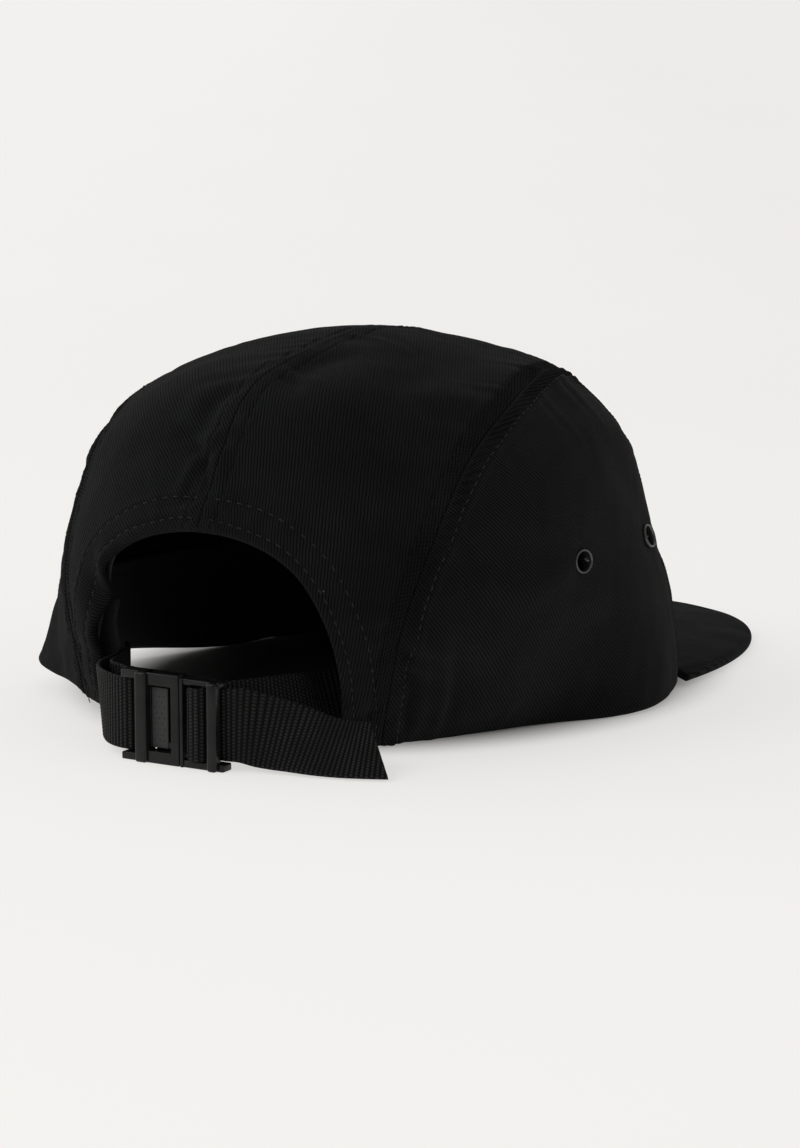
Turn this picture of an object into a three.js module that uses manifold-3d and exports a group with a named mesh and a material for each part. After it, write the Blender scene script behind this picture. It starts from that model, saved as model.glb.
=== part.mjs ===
import * as THREE from "three";
import { mergeVertices } from "three/addons/utils/BufferGeometryUtils.js";
import Module from "manifold-3d";

// Millimetres, +Z up. The cap rests on z = 0, its peak points to -Y, the wearer's left is +X.
const HALF_WIDTH = 82;
const FRONT_REACH = 93;
const BACK_REACH = 93;
const CROWN_HEIGHT = 108;
const CLOTH = 1.6;
const GAP = 0.3;
const SEAM_PULL = 0.2;
const RIM_REACH = 95;
const RIM_LIFT = 8;
const FOLD_DEPTH = 3.6;
const RIM_BLEND_START = 0.6;
const RIM_BLEND_POWER = 1.8;

const BAND_HEIGHT_SHARE = 0.215;
const BAND_THICK = 1.2;
const BAND_SHORT = 1.5;
const LAYER_GAP = 1.2;
const TAPE_WIDTH = 10;
const TAPE_THICK = 0.9;

const PEAK_HALF_WIDTH = 76.5;
const PEAK_CENTRE_Y = -59;
const PEAK_LENGTH = 109;
const PEAK_THICK = 2.4;
const PEAK_SPREAD = 50;
const PEAK_SIDE_POWER = 2.4;
const PEAK_FRONT_POWER = 2.3;
const PEAK_RISE = 1.2;

const EYELET_FLANGE = 3.6;
const EYELET_BORE = 2.55;
const EYELET_BARREL = 2.95;
const EYELET_PLATE = 0.5;
const EYELET_STANDOFF = 0.8;

const WEB_WIDTH = 20;
const WEB_THICK = 1.5;
const WEB_LOW = 2.4;
const TAIL_SLANT = 9;

const BUCKLE_HEIGHT = 25;
const TONGUE_HEIGHT = 24.4;
const BUCKLE_RAIL = WEB_LOW - GAP;
const BUCKLE_BACK = 98.2;
const BUCKLE_DEPTH = 4.7;
const BUCKLE_RAISE = 1.1;
const SOCKET_END = 14;
const TONGUE_END = -19.1;
const SPLIT_X = -5.1;
const POST_WIDTH = 2.5;
const WINDOW_WIDTH = 7.5;
const WINDOW_FOOT = 3.4;
const RAISED_BAR = 3.8;
const RAISED_DEPTH = 4.6;
const PLATE_THICK = 4;
const PLATE_RECESS = 1.5;
const PLATE_EASE = 1;
const HINGE_ROOM = 1.9;
const BRIDGE_THICK = 1.8;
const TONGUE_WALL = 1;
const TOP_RAIL_SHORT = 1;
const LOOP_BAR = 1.6;
const LOOP_BAR_DEPTH = 1.1;
const LOOP_BAR_SET_BACK = 0.4;
const ADJUSTER_X = -10.55;
const ADJUSTER_BAR = 2.1;
const ADJUSTER_DEPTH = 2.6;
const ADJUSTER_EASE = 1;
const GRIP_X = -16.1;
const GRIP_BAR = 3;
const GRIP_DEPTH = 3.5;
const GRIP_RAISE = 0.2;
const BUCKLE_FACE = BUCKLE_BACK + BUCKLE_DEPTH;
const BUCKLE_PROUD = BUCKLE_FACE + BUCKLE_RAISE;
const GRIP_FACE = BUCKLE_PROUD + GRIP_RAISE;
const GRIP_BACK = GRIP_FACE - GRIP_DEPTH;

const CLOTH_COLOUR = 0x17181a;
const TAPE_COLOUR = 0x141416;
const WEB_COLOUR = 0x1d1d1e;
const PLASTIC_COLOUR = 0x1b1a1b;
const METAL_COLOUR = 0x1a1b1d;

// Rows of named columns.
const table = (columns, rows) =>
  rows.map((row) => Object.fromEntries(columns.split(" ").map((name, i) => [name, row[i]])));

// Sections of the dome against the share of the way out from the top: reaches and heights as shares.
const SECTIONS = table(
  "out side front back rise_side rise_front rise_back square_front square_back",
  [
    [0.0, 0.0, 0.0, 0.0, 1.0, 1.0, 1.0, 2.0, 2.0],
    [0.2, 0.392, 0.358, 0.378, 0.952, 0.959, 0.952, 2.1, 2.0],
    [0.37, 0.71, 0.633, 0.671, 0.855, 0.869, 0.874, 2.2, 2.05],
    [0.51, 0.886, 0.793, 0.829, 0.711, 0.706, 0.699, 2.35, 2.1],
    [0.66, 0.95, 0.874, 0.955, 0.481, 0.466, 0.509, 2.5, 2.15],
    [0.83, 0.986, 0.95, 0.986, 0.239, 0.235, 0.251, 2.7, 2.2],
    [1.0, 1.0, 1.0, 0.95, 0.0, 0.0, 0.0, 2.9, 2.2],
  ],
);

// The rim by bearing from the front, + to the wearer's left: shares of RIM_REACH and RIM_LIFT.
const RIM = table("bearing reach lift", [
  [-180, 0.821, 0.375],
  [-153, 0.741, 0.087],
  [-141, 0.704, 0.05],
  [-116, 0.654, 0.025],
  [-91, 0.728, 0.013],
  [-75, 0.897, 0.11],
  [-62, 0.961, 0.33],
  [-50, 0.979, 0.41],
  [-30, 1.002, 0.375],
  [0, 1, 0.25],
  [30, 0.989, 0.188],
  [50, 0.947, 0.062],
  [62, 0.895, 0.013],
  [80, 0.905, 0.375],
  [97, 0.979, 0.75],
  [110, 1.026, 1],
  [127, 0.947, 1],
  [141, 0.895, 0.938],
  [158, 0.905, 0.75],
  [180, 0.821, 0.375],
]);

// Folds and dents: places and sizes in shares of the way out, depths in shares of FOLD_DEPTH.
const DENTS = table("p q turn long wide depth", [
  [0.32, 0.7, 60, 0.09, 0.05, -1],
  [0.64, 0.3, 70, 0.3, 0.05, -0.5],
  [0.7, 0.16, 72, 0.3, 0.05, 0.33],
  [0.08, 0.42, 95, 0.12, 0.05, -0.36],
  [-0.52, 0.5, 50, 0.2, 0.04, -0.22],
  [-0.66, 0.56, 48, 0.16, 0.05, -0.44],
  [-0.75, 0.38, 30, 0.16, 0.05, 0.39],
  [-0.32, 0.3, 110, 0.14, 0.06, -0.28],
  [-0.55, -0.2, 60, 0.1, 0.05, -0.22],
]);

// The seams and the edge of the back arch on the right half, from the rim upwards. The left mirrors them.
const SIDE_SEAM = table("p q", [
  [0.585, 0.811],
  [0.531, 0.704],
  [0.497, 0.632],
  [0.452, 0.5],
  [0.435, 0.433],
  [0.398, 0.289],
  [0.366, 0.1],
  [0.336, -0.02],
  [0.295, -0.14],
  [0.25, -0.265],
]);
const FRONT_SEAM = table("p q", [
  [0.77, -0.638],
  [0.66, -0.575],
  [0.54, -0.49],
  [0.42, -0.395],
  [0.325, -0.32],
  [0.25, -0.265],
]);
const ARCH_EDGE = table("p q", [
  [0.448, 0.894],
  [0.424, 0.82],
  [0.39, 0.765],
  [0.345, 0.715],
  [0.295, 0.675],
  [0.24, 0.645],
  [0.185, 0.628],
  [0.125, 0.618],
  [0.06, 0.613],
  [0.0, 0.612],
]);
const TOP_EDGE_Q = -0.3;
const EYELETS = table("name p q", [
  ["rear", 0.677, 0.08],
  ["front", 0.605, -0.315],
]);

// The two straps in plan: middle of the webbing, height of its lower edge, and its lean out at the foot.
// The rows where a strap wraps a bar of the buckle follow that bar.
const WRAP = WEB_THICK / 2 + GAP;
const LOOP_BAR_X = SOCKET_END - LOOP_BAR / 2;
const LOOP_BAR_BACK = BUCKLE_BACK - LOOP_BAR_SET_BACK;
const LOOP_BAR_FRONT = LOOP_BAR_BACK + LOOP_BAR_DEPTH;
const ADJUSTER_BACK = BUCKLE_BACK + ADJUSTER_EASE;
const ADJUSTER_FRONT = ADJUSTER_BACK + ADJUSTER_DEPTH;
const LEFT_STRAP = table("x y low lean", [
  [42.4, 63.6, 2.6, 0],
  [36.5, 70.2, 2.6, 0],
  [33.2, 77, 2.6, 0],
  [32.4, 84.6, 2.6, 0],
  [27.4, 92.4, 2.5, 0],
  [20.6, 98, WEB_LOW, 0],
  [LOOP_BAR_X + 2, LOOP_BAR_FRONT + WRAP + 0.3, WEB_LOW, 0],
  [LOOP_BAR_X - 1, LOOP_BAR_FRONT + WRAP + 0.3, WEB_LOW, 0],
  [SOCKET_END - LOOP_BAR - WRAP - 0.8, (LOOP_BAR_BACK + LOOP_BAR_FRONT) / 2 + 0.2, WEB_LOW, 0],
  [LOOP_BAR_X - 1, LOOP_BAR_BACK - WRAP - 0.4, WEB_LOW, 0],
  [LOOP_BAR_X + 2.6, LOOP_BAR_BACK - WRAP - 2.2, WEB_LOW, 0],
  [21.8, 88.4, 2.5, 0],
  [27.6, 82.4, 2.6, 0],
  [30.8, 75.4, 2.6, 0],
  [34.5, 68.5, 2.6, 0],
  [40.6, 61.4, 2.6, 0],
]);
const RIGHT_STRAP = table("x y low lean", [
  [-36.4, 47.8, 1.6, -22],
  [-32.9, 52.6, 1.6, -24],
  [-29, 59.2, 1.7, -24],
  [-26.8, 66.4, 1.9, -19],
  [-22.6, 76.4, 2.1, -12],
  [-16.6, 87.2, 2.3, -5],
  [ADJUSTER_X - 0.7, 94.6, WEB_LOW, -1],
  [ADJUSTER_X + ADJUSTER_BAR / 2 + WRAP - 0.2, ADJUSTER_BACK - 1.2, WEB_LOW, 0],
  [ADJUSTER_X + ADJUSTER_BAR / 2 + WRAP + 0.5, ADJUSTER_FRONT - 0.8, WEB_LOW, 0],
  [ADJUSTER_X + ADJUSTER_BAR / 2 + 0.4, ADJUSTER_FRONT + WRAP + 0.35, WEB_LOW, 0],
  [ADJUSTER_X, ADJUSTER_FRONT + WRAP + 0.65, WEB_LOW, 0],
  [ADJUSTER_X - ADJUSTER_BAR / 2 - 0.5, ADJUSTER_FRONT + WRAP + 0.35, WEB_LOW, 0],
  [ADJUSTER_X - ADJUSTER_BAR / 2 - WRAP - 0.6, ADJUSTER_FRONT - 0.6, WEB_LOW, 0],
  [GRIP_X + GRIP_BAR / 2 + 0.3, GRIP_BACK - WRAP - 0.35, WEB_LOW, 0],
  [GRIP_X - GRIP_BAR / 2 - 0.4, GRIP_BACK - WRAP - 0.65, WEB_LOW, 0],
  [-21.4, 98.4, 2.35, 7],
  [-25.6, 97.4, 1.5, 24],
  [-30, 96.8, 1.2, 33],
  [-34.5, 96.2, 1.1, 41],
  [-41.4, 95.3, 0.9, 50],
  [-48.6, 93.7, 0.8, 55],
  [-54.4, 91.7, 0.8, 55],
  [-59.6, 89.4, 0.8, 54],
]);

const wasm = await Module();
wasm.setup();

const STRIP_STEPS = 3;

const radians = (degrees) => (degrees * Math.PI) / 180;
const vector = (x, y, z) => new THREE.Vector3(x, y, z);

// A natural cubic spline through the points.
function spline(xs, ys) {
  const last = xs.length - 1;
  const upper = [0];
  const right = [0];
  for (let i = 1; i < last; i++) {
    const before = xs[i] - xs[i - 1];
    const after = xs[i + 1] - xs[i];
    const turn = 6 * ((ys[i + 1] - ys[i]) / after - (ys[i] - ys[i - 1]) / before);
    const pivot = 2 * (before + after) - before * upper[i - 1];
    upper[i] = after / pivot;
    right[i] = (turn - before * right[i - 1]) / pivot;
  }
  const bend = new Array(last + 1).fill(0);
  for (let i = last - 1; i > 0; i--) bend[i] = right[i] - upper[i] * bend[i + 1];
  return (x) => {
    let i = 0;
    while (i < last - 1 && x > xs[i + 1]) i++;
    const step = xs[i + 1] - xs[i];
    const a = (xs[i + 1] - x) / step;
    const b = 1 - a;
    const curve = (a * a * a - a) * bend[i] + (b * b * b - b) * bend[i + 1];
    return a * ys[i] + b * ys[i + 1] + (curve * step * step) / 6;
  };
}

const column = (rows, name) => rows.map((row) => row[name]);

// A column of the sections, carried through the top as an even or an odd curve.
function section(name, sign) {
  const outs = column(SECTIONS, "out");
  const values = column(SECTIONS, name);
  const back = outs.slice(1).reverse();
  return spline(
    [...back.map((x) => -x), ...outs],
    [...values.slice(1).reverse().map((y) => sign * y), ...values],
  );
}

function around(name, whole) {
  const bearings = column(RIM, "bearing");
  const values = column(RIM, name).map((share) => share * whole);
  return spline(
    [...bearings.slice(0, -1).map((x) => x - 360), ...bearings, ...bearings.slice(1).map((x) => x + 360)],
    [...values.slice(0, -1), ...values, ...values.slice(1)],
  );
}

const curves = {
  side: section("side", -1),
  front: section("front", -1),
  back: section("back", -1),
  riseSide: section("rise_side", 1),
  riseFront: section("rise_front", 1),
  riseBack: section("rise_back", 1),
  squareFront: section("square_front", 1),
  squareBack: section("square_back", 1),
  reach: around("reach", RIM_REACH),
  lift: around("lift", RIM_LIFT),
};

// The undented outer face. (p, q) is the cap pressed flat: 0 at the top, 1 at the rim, +q to the back.
function dome(p, q) {
  const out = Math.max(Math.hypot(p, q), 1e-5);
  const across = p / out;
  const along = out > 1e-5 ? q / out : 1;
  const side = curves.side(out) * HALF_WIDTH;
  const length = along < 0 ? curves.front(out) * FRONT_REACH : curves.back(out) * BACK_REACH;
  const frontShare = (1 - along) / 2;
  const square = curves.squareBack(out) * (1 - frontShare) + curves.squareFront(out) * frontShare;
  const sum = Math.abs(along / length) ** square + Math.abs(across / side) ** square;
  const bearing = (Math.atan2(across, -along) * 180) / Math.PI;
  const low = THREE.MathUtils.clamp((out - RIM_BLEND_START) / (1 - RIM_BLEND_START), 0, 1) ** RIM_BLEND_POWER;
  const radius = (1 - low) * sum ** (-1 / square) + low * curves.reach(bearing);
  const riseEnd = along < 0 ? curves.riseFront(out) : curves.riseBack(out);
  const rise = across * across * curves.riseSide(out) + along * along * riseEnd;
  return vector(radius * across, radius * along, CROWN_HEIGHT * rise + curves.lift(bearing) * low);
}

function normalOf(face, p, q) {
  const step = 0.004;
  const overP = face(p + step, q).sub(face(p - step, q));
  const overQ = face(p, q + step).sub(face(p, q - step));
  return overP.cross(overQ).normalize();
}

function dentAt(p, q) {
  let depth = 0;
  for (const dent of DENTS) {
    const turn = radians(dent.turn);
    const a = (p - dent.p) * Math.cos(turn) + (q - dent.q) * Math.sin(turn);
    const b = (q - dent.q) * Math.cos(turn) - (p - dent.p) * Math.sin(turn);
    depth += FOLD_DEPTH * dent.depth * Math.exp(-((a / dent.long) ** 2) - (b / dent.wide) ** 2);
  }
  return depth;
}

// The outer face of the cloth.
const skin = (p, q) => dome(p, q).addScaledVector(normalOf(dome, p, q), dentAt(p, q));

// A point at a share of the way along a seam of (p, q) rows, smooth through them.
function seam(rows, mirror) {
  const path = new THREE.CatmullRomCurve3(
    rows.map((row) => vector(mirror * row.p, row.q, 0)),
    false,
    "centripetal",
  );
  return (share) => path.getPointAt(THREE.MathUtils.clamp(share, 0, 1));
}

const line = (from, to) => (share) => from.clone().lerp(to, share);

// The first curve up to the given share, then the second.
const joined = (first, second, at) => (share) =>
  share < at ? first(share / at) : second((share - at) / (1 - at));

// The patch between four edges: left and right run up, foot and head run from left to right.
function patchOf(left, right, foot, head) {
  return (s, t) => {
    const sides = left(t).multiplyScalar(1 - s).addScaledVector(right(t), s);
    const ends = foot(s).multiplyScalar(1 - t).addScaledVector(head(s), t);
    const corners = left(0).multiplyScalar((1 - s) * (1 - t));
    corners.addScaledVector(right(0), s * (1 - t));
    corners.addScaledVector(left(1), (1 - s) * t);
    corners.addScaledVector(right(1), s * t);
    return sides.add(ends).sub(corners);
  };
}

// A closed body between two grids of points, both indexed [row][place].
function bodyBetween(outer, inner) {
  const rows = outer.length;
  const places = outer[0].length;
  const points = [...outer.flat(), ...inner.flat()];
  const size = rows * places;
  const faces = [];
  const quad = (a, b, c, d) => faces.push(a, b, c, a, c, d);
  for (let i = 0; i + 1 < rows; i++) {
    for (let j = 0; j + 1 < places; j++) {
      const at = i * places + j;
      quad(at, at + 1, at + places + 1, at + places);
      quad(size + at, size + at + places, size + at + places + 1, size + at + 1);
    }
    const near = i * places;
    const far = near + places - 1;
    quad(near, near + places, size + near + places, size + near);
    quad(far, size + far, size + far + places, far + places);
  }
  for (let j = 0; j + 1 < places; j++) {
    const top = (rows - 1) * places + j;
    quad(j, size + j, size + j + 1, j + 1);
    quad(top, top + 1, size + top + 1, size + top);
  }
  const geometry = new THREE.BufferGeometry().setFromPoints(points);
  geometry.setIndex(faces);
  return geometry;
}

function solidOf(geometry) {
  const bare = geometry.index ? geometry.toNonIndexed() : geometry.clone();
  bare.deleteAttribute("normal");
  bare.deleteAttribute("uv");
  const merged = mergeVertices(bare, 1e-4);
  const made = new wasm.Manifold(
    new wasm.Mesh({
      numProp: 3,
      vertProperties: merged.attributes.position.array,
      triVerts: new Uint32Array(merged.index.array),
    }),
  );
  return made.volume() < 0 ? flipped(geometry) : made;
}

function flipped(geometry) {
  const turned = geometry.toNonIndexed();
  const places = turned.attributes.position;
  for (let i = 0; i < places.count; i += 3) {
    const a = vector().fromBufferAttribute(places, i + 1);
    const b = vector().fromBufferAttribute(places, i + 2);
    places.setXYZ(i + 1, b.x, b.y, b.z);
    places.setXYZ(i + 2, a.x, a.y, a.z);
  }
  return solidOf(turned);
}

function geometryOf(solid) {
  const mesh = solid.getMesh();
  const geometry = new THREE.BufferGeometry();
  geometry.setAttribute("position", new THREE.BufferAttribute(mesh.vertProperties, 3));
  geometry.setIndex(new THREE.BufferAttribute(mesh.triVerts, 1));
  return geometry;
}

// Cloth over a patch: from `depth` to `depth + thick` mm under the outer face, pulled in at its edges.
function cloth(patch, rows, places, depth, thick, pull) {
  const outer = [];
  const inner = [];
  for (let i = 0; i <= rows; i++) {
    const outerRow = [];
    const innerRow = [];
    for (let j = 0; j <= places; j++) {
      const { x: p, y: q } = patch(j / places, i / rows);
      const face = skin(p, q);
      const inwards = normalOf(skin, p, q).negate();
      outerRow.push(face.clone().addScaledVector(inwards, depth));
      innerRow.push(face.clone().addScaledVector(inwards, depth + thick));
    }
    outer.push(outerRow);
    inner.push(innerRow);
  }
  for (const grid of [outer, inner]) {
    const towards = (point, other) => other.clone().sub(point).setLength(pull);
    for (const row of grid) {
      row[0].add(towards(row[0], row[1]));
      row[places].add(towards(row[places], row[places - 1]));
    }
    for (let j = 0; j <= places; j++) {
      grid[0][j].add(towards(grid[0][j], grid[1][j]));
      grid[rows][j].add(towards(grid[rows][j], grid[rows - 1][j]));
    }
  }
  return solidOf(bodyBetween(outer, inner));
}

const materials = {
  cloth: { color: CLOTH_COLOUR, roughness: 0.95, metalness: 0 },
  tape: { color: TAPE_COLOUR, roughness: 0.9, metalness: 0 },
  web: { color: WEB_COLOUR, roughness: 0.85, metalness: 0 },
  plastic: { color: PLASTIC_COLOUR, roughness: 0.45, metalness: 0 },
  metal: { color: METAL_COLOUR, roughness: 0.2, metalness: 0.8 },
};

function part(name, solid, material) {
  const geometry = geometryOf(solid);
  geometry.computeVertexNormals();
  const mesh = new THREE.Mesh(geometry, new THREE.MeshStandardMaterial(materials[material]));
  mesh.name = name;
  return mesh;
}

const group = (name, ...children) => {
  const made = new THREE.Group();
  made.name = name;
  made.add(...children);
  return made;
};

const HANDS = [
  { name: "right", mirror: -1 },
  { name: "left", mirror: 1 },
];

const APEX_SHARE = 0.46;
const apex = vector(0, ARCH_EDGE.at(-1).q, 0);
const topMiddle = vector(0, TOP_EDGE_Q, 0);

// A point on the rim between the bearings of two seam feet.
function rimBetween(from, to) {
  const start = Math.atan2(from.x, -from.y);
  const end = Math.atan2(to.x, -to.y);
  return (share) => {
    const bearing = start + (end - start) * share;
    return vector(Math.sin(bearing), -Math.cos(bearing), 0);
  };
}

// The seam over the top between two of its places by p, bowed forward in the middle.
function topSeam(from, to) {
  const corner = SIDE_SEAM.at(-1);
  return (share) => {
    const p = from + (to - from) * share;
    const bow = 1 - (p / corner.p) ** 2;
    return vector(p, corner.q + (TOP_EDGE_Q - corner.q) * bow, 0);
  };
}

function backPanel(mirror) {
  const arch = seam(ARCH_EDGE, mirror);
  const side = seam(SIDE_SEAM, mirror);
  const inner = joined(arch, line(apex, topMiddle), APEX_SHARE);
  const patch = patchOf(inner, side, rimBetween(arch(0), side(0)), topSeam(0, side(1).x));
  return cloth(patch, 26, 13, 0, CLOTH, SEAM_PULL);
}

// The cloth stops this share short of the corner where its two seams meet.
const SIDE_HEAD = 0.982;

function sidePanel(mirror) {
  const side = seam(SIDE_SEAM, mirror);
  const front = seam(FRONT_SEAM, mirror);
  const corner = side(1);
  const whole = patchOf(side, front, rimBetween(side(0), front(0)), () => corner.clone());
  return cloth((s, t) => whole(s, t * SIDE_HEAD), 16, 14, 0, CLOTH, SEAM_PULL);
}

function frontPanel() {
  const right = seam(FRONT_SEAM, -1);
  const left = seam(FRONT_SEAM, 1);
  const head = topSeam(right(1).x, left(1).x);
  return cloth(patchOf(right, left, rimBetween(right(0), left(0)), head), 13, 16, 0, CLOTH, SEAM_PULL);
}

// The mm of cloth in one unit of (p, q) along a direction of it.
const stretch = (point, way) => {
  const step = 0.004;
  const ahead = skin(point.x + way.x * step, point.y + way.y * step);
  return ahead.distanceTo(skin(point.x, point.y)) / step;
};

// How far down the arch's tape reaches.
const ARCH_FOOT = 0.985;

// The arch edge as one run from the right foot to the left foot, and the same moved into the cloth.
function archRun(inset) {
  const right = seam(ARCH_EDGE, -1);
  const left = seam(ARCH_EDGE, 1);
  return (share) => {
    const at = (s) => (s < 0.5 ? right(2 * s) : left(2 - 2 * s));
    const point = at(share);
    const tangent = at(Math.min(share + 0.01, 1)).sub(at(Math.max(share - 0.01, 0))).normalize();
    const way = vector(tangent.y, -tangent.x, 0);
    return point.addScaledVector(way, inset / stretch(point, way)).clampLength(0, ARCH_FOOT);
  };
}

const TAPE_UNDER = CLOTH + LAYER_GAP;

function archBinding() {
  const edge = archRun(SEAM_PULL);
  const inside = archRun(TAPE_WIDTH);
  const patch = (s, t) => edge(t).lerp(inside(t), s);
  return cloth(patch, 48, 2, TAPE_UNDER, TAPE_THICK, SEAM_PULL);
}

function sweatband() {
  const inside = archRun(TAPE_WIDTH + BAND_SHORT);
  const right = inside(0);
  const left = inside(1);
  const start = Math.atan2(right.x, -right.y);
  const end = Math.atan2(left.x, -left.y);
  const patch = (s, t) => {
    const bearing = end + (start - end) * t;
    const out = 1 - BAND_HEIGHT_SHARE * s;
    return vector(out * Math.sin(bearing), -out * Math.cos(bearing), 0);
  };
  return cloth(patch, 64, 2, TAPE_UNDER, BAND_THICK, SEAM_PULL);
}

function eyeletFrame(mirror, { p, q }) {
  const face = skin(mirror * p, q);
  const normal = normalOf(skin, mirror * p, q);
  const turn = new THREE.Quaternion().setFromUnitVectors(vector(0, 1, 0), normal);
  return new THREE.Matrix4().compose(face, turn, vector(1, 1, 1));
}

function eyelet(frame) {
  const under = -CLOTH - EYELET_STANDOFF;
  const over = EYELET_STANDOFF;
  const profile = [
    [EYELET_BORE, under - EYELET_PLATE],
    [EYELET_FLANGE, under - EYELET_PLATE],
    [EYELET_FLANGE, under],
    [EYELET_BARREL, under],
    [EYELET_BARREL, over],
    [EYELET_FLANGE, over],
    [EYELET_FLANGE - 0.15, over + EYELET_PLATE * 0.7],
    [(EYELET_FLANGE + EYELET_BORE) / 2, over + EYELET_PLATE * 1.5],
    [EYELET_BORE, over + EYELET_PLATE * 0.7],
    [EYELET_BORE, under - EYELET_PLATE],
  ];
  const ring = new THREE.LatheGeometry(profile.map(([x, y]) => new THREE.Vector2(x, y)), 16);
  return solidOf(ring.applyMatrix4(frame));
}

function eyeletHole(frame) {
  const length = 4 * CLOTH;
  const hole = new THREE.CylinderGeometry(EYELET_BARREL + GAP, EYELET_BARREL + GAP, length, 16);
  return solidOf(hole.applyMatrix4(frame));
}

// The peak's outline by an angle from the middle, and its lower face's height.
function peakEdge(share) {
  const angle = radians(90 * share);
  const x = Math.sign(share) * Math.abs(Math.sin(angle)) ** (2 / PEAK_SIDE_POWER) * PEAK_HALF_WIDTH;
  const y = PEAK_CENTRE_Y - Math.abs(Math.cos(angle)) ** (2 / PEAK_FRONT_POWER) * PEAK_LENGTH;
  return vector(x, y, 0);
}

function peak() {
  const top = [];
  const bottom = [];
  const along = 30;
  const across = 8;
  for (let i = 0; i <= along; i++) {
    const share = (2 * i) / along - 1;
    const bearing = radians(PEAK_SPREAD * share);
    const root = skin(Math.sin(bearing), -Math.cos(bearing));
    const outwards = normalOf(skin, Math.sin(bearing), -Math.cos(bearing)).setZ(0).normalize();
    root.addScaledVector(outwards, 2 * GAP);
    const edge = peakEdge(share);
    edge.z = 0.4 * THREE.MathUtils.clamp(root.z, 0, 4) * share * share;
    const topRow = [];
    const bottomRow = [];
    for (let j = 0; j <= across; j++) {
      const t = j / across;
      const point = root.clone().lerp(edge, t);
      const crown = PEAK_RISE * Math.sin(Math.PI * t) * (1 - share * share);
      const low = point.z + crown;
      bottomRow.push(vector(point.x, point.y, low));
      topRow.push(vector(point.x, point.y, low + PEAK_THICK));
    }
    top.push(topRow);
    bottom.push(bottomRow);
  }
  return solidOf(bodyBetween(top, bottom));
}

// A flat strip swept along its rows.
function strip(rows) {
  const path = new THREE.CatmullRomCurve3(
    rows.map((row) => vector(row.x, row.y, row.low)),
    false,
    "centripetal",
  );
  const lean = spline([...rows.keys()], column(rows, "lean"));
  const divisions = (rows.length - 1) * STRIP_STEPS;
  const front = [];
  const back = [];
  for (let i = 0; i <= divisions; i++) {
    const foot = path.getPoint(i / divisions);
    const tangent = path.getTangent(i / divisions).setZ(0).normalize();
    const outwards = vector(tangent.y, -tangent.x, 0);
    const tilt = radians(lean(i / STRIP_STEPS));
    const up = vector(0, 0, Math.cos(tilt)).addScaledVector(outwards, -Math.sin(tilt));
    const face = outwards.clone().multiplyScalar(Math.cos(tilt)).setZ(Math.sin(tilt));
    const frontRow = [];
    const backRow = [];
    for (let j = 0; j <= 2; j++) {
      const point = foot.clone().addScaledVector(up, (WEB_WIDTH * j) / 2);
      frontRow.push(point.clone().addScaledVector(face, WEB_THICK / 2));
      backRow.push(point.clone().addScaledVector(face, -WEB_THICK / 2));
    }
    front.push(frontRow);
    back.push(backRow);
  }
  return solidOf(bodyBetween(front, back));
}

// The strip with its end cut slantwise, the top edge shorter by the slant.
function slantCut(solid, rows, slant) {
  const end = rows.at(-1);
  const before = rows.at(-2);
  const along = vector(end.x - before.x, end.y - before.y, 0).normalize();
  const outwards = vector(along.y, -along.x, 0);
  const tilt = radians(end.lean);
  const up = vector(0, 0, Math.cos(tilt)).addScaledVector(outwards, -Math.sin(tilt));
  const cut = up.multiplyScalar(WEB_WIDTH).addScaledVector(along, -slant).normalize();
  const away = along.clone().addScaledVector(cut, -along.dot(cut)).normalize();
  const middle = vector(end.x, end.y, end.low).addScaledVector(cut, WEB_WIDTH / 2);
  const side = 2 * WEB_WIDTH;
  const waste = new THREE.BoxGeometry(side, side, side).applyMatrix4(
    new THREE.Matrix4().makeBasis(away, cut, away.clone().cross(cut)),
  );
  middle.addScaledVector(away, side / 2 - WEB_THICK / 2);
  return solid.subtract(solidOf(waste.translate(middle.x, middle.y, middle.z)));
}

const joinAll = (pieces) => pieces.reduce((sum, piece) => sum.add(piece));

// One box of each row: from and to across the back, in height and outwards.
const blocks = (rows) =>
  joinAll(
    rows.map((row) => {
      const box = new THREE.BoxGeometry(row.x1 - row.x0, row.y1 - row.y0, row.z1 - row.z0);
      return solidOf(box.translate((row.x0 + row.x1) / 2, (row.y0 + row.y1) / 2, (row.z0 + row.z1) / 2));
    }),
  );

const RAIL_HEAD = WEB_LOW + WEB_WIDTH + GAP;
const WINDOW_X = SPLIT_X + POST_WIDTH;
const RAISED_X = WINDOW_X + WINDOW_WIDTH;
const PLATE_FACE = BUCKLE_FACE - PLATE_RECESS;
const PLATE_BACK = PLATE_FACE - PLATE_THICK;
const BRIDGE_FACE = PLATE_BACK + BRIDGE_THICK;
const PLATE_X = WINDOW_X + HINGE_ROOM;
const TONGUE_X = SPLIT_X - GAP;
const PLATE_FOOT = WINDOW_FOOT + PLATE_EASE;
const bar = (middle, width) => [middle - width / 2, middle + width / 2];

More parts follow.
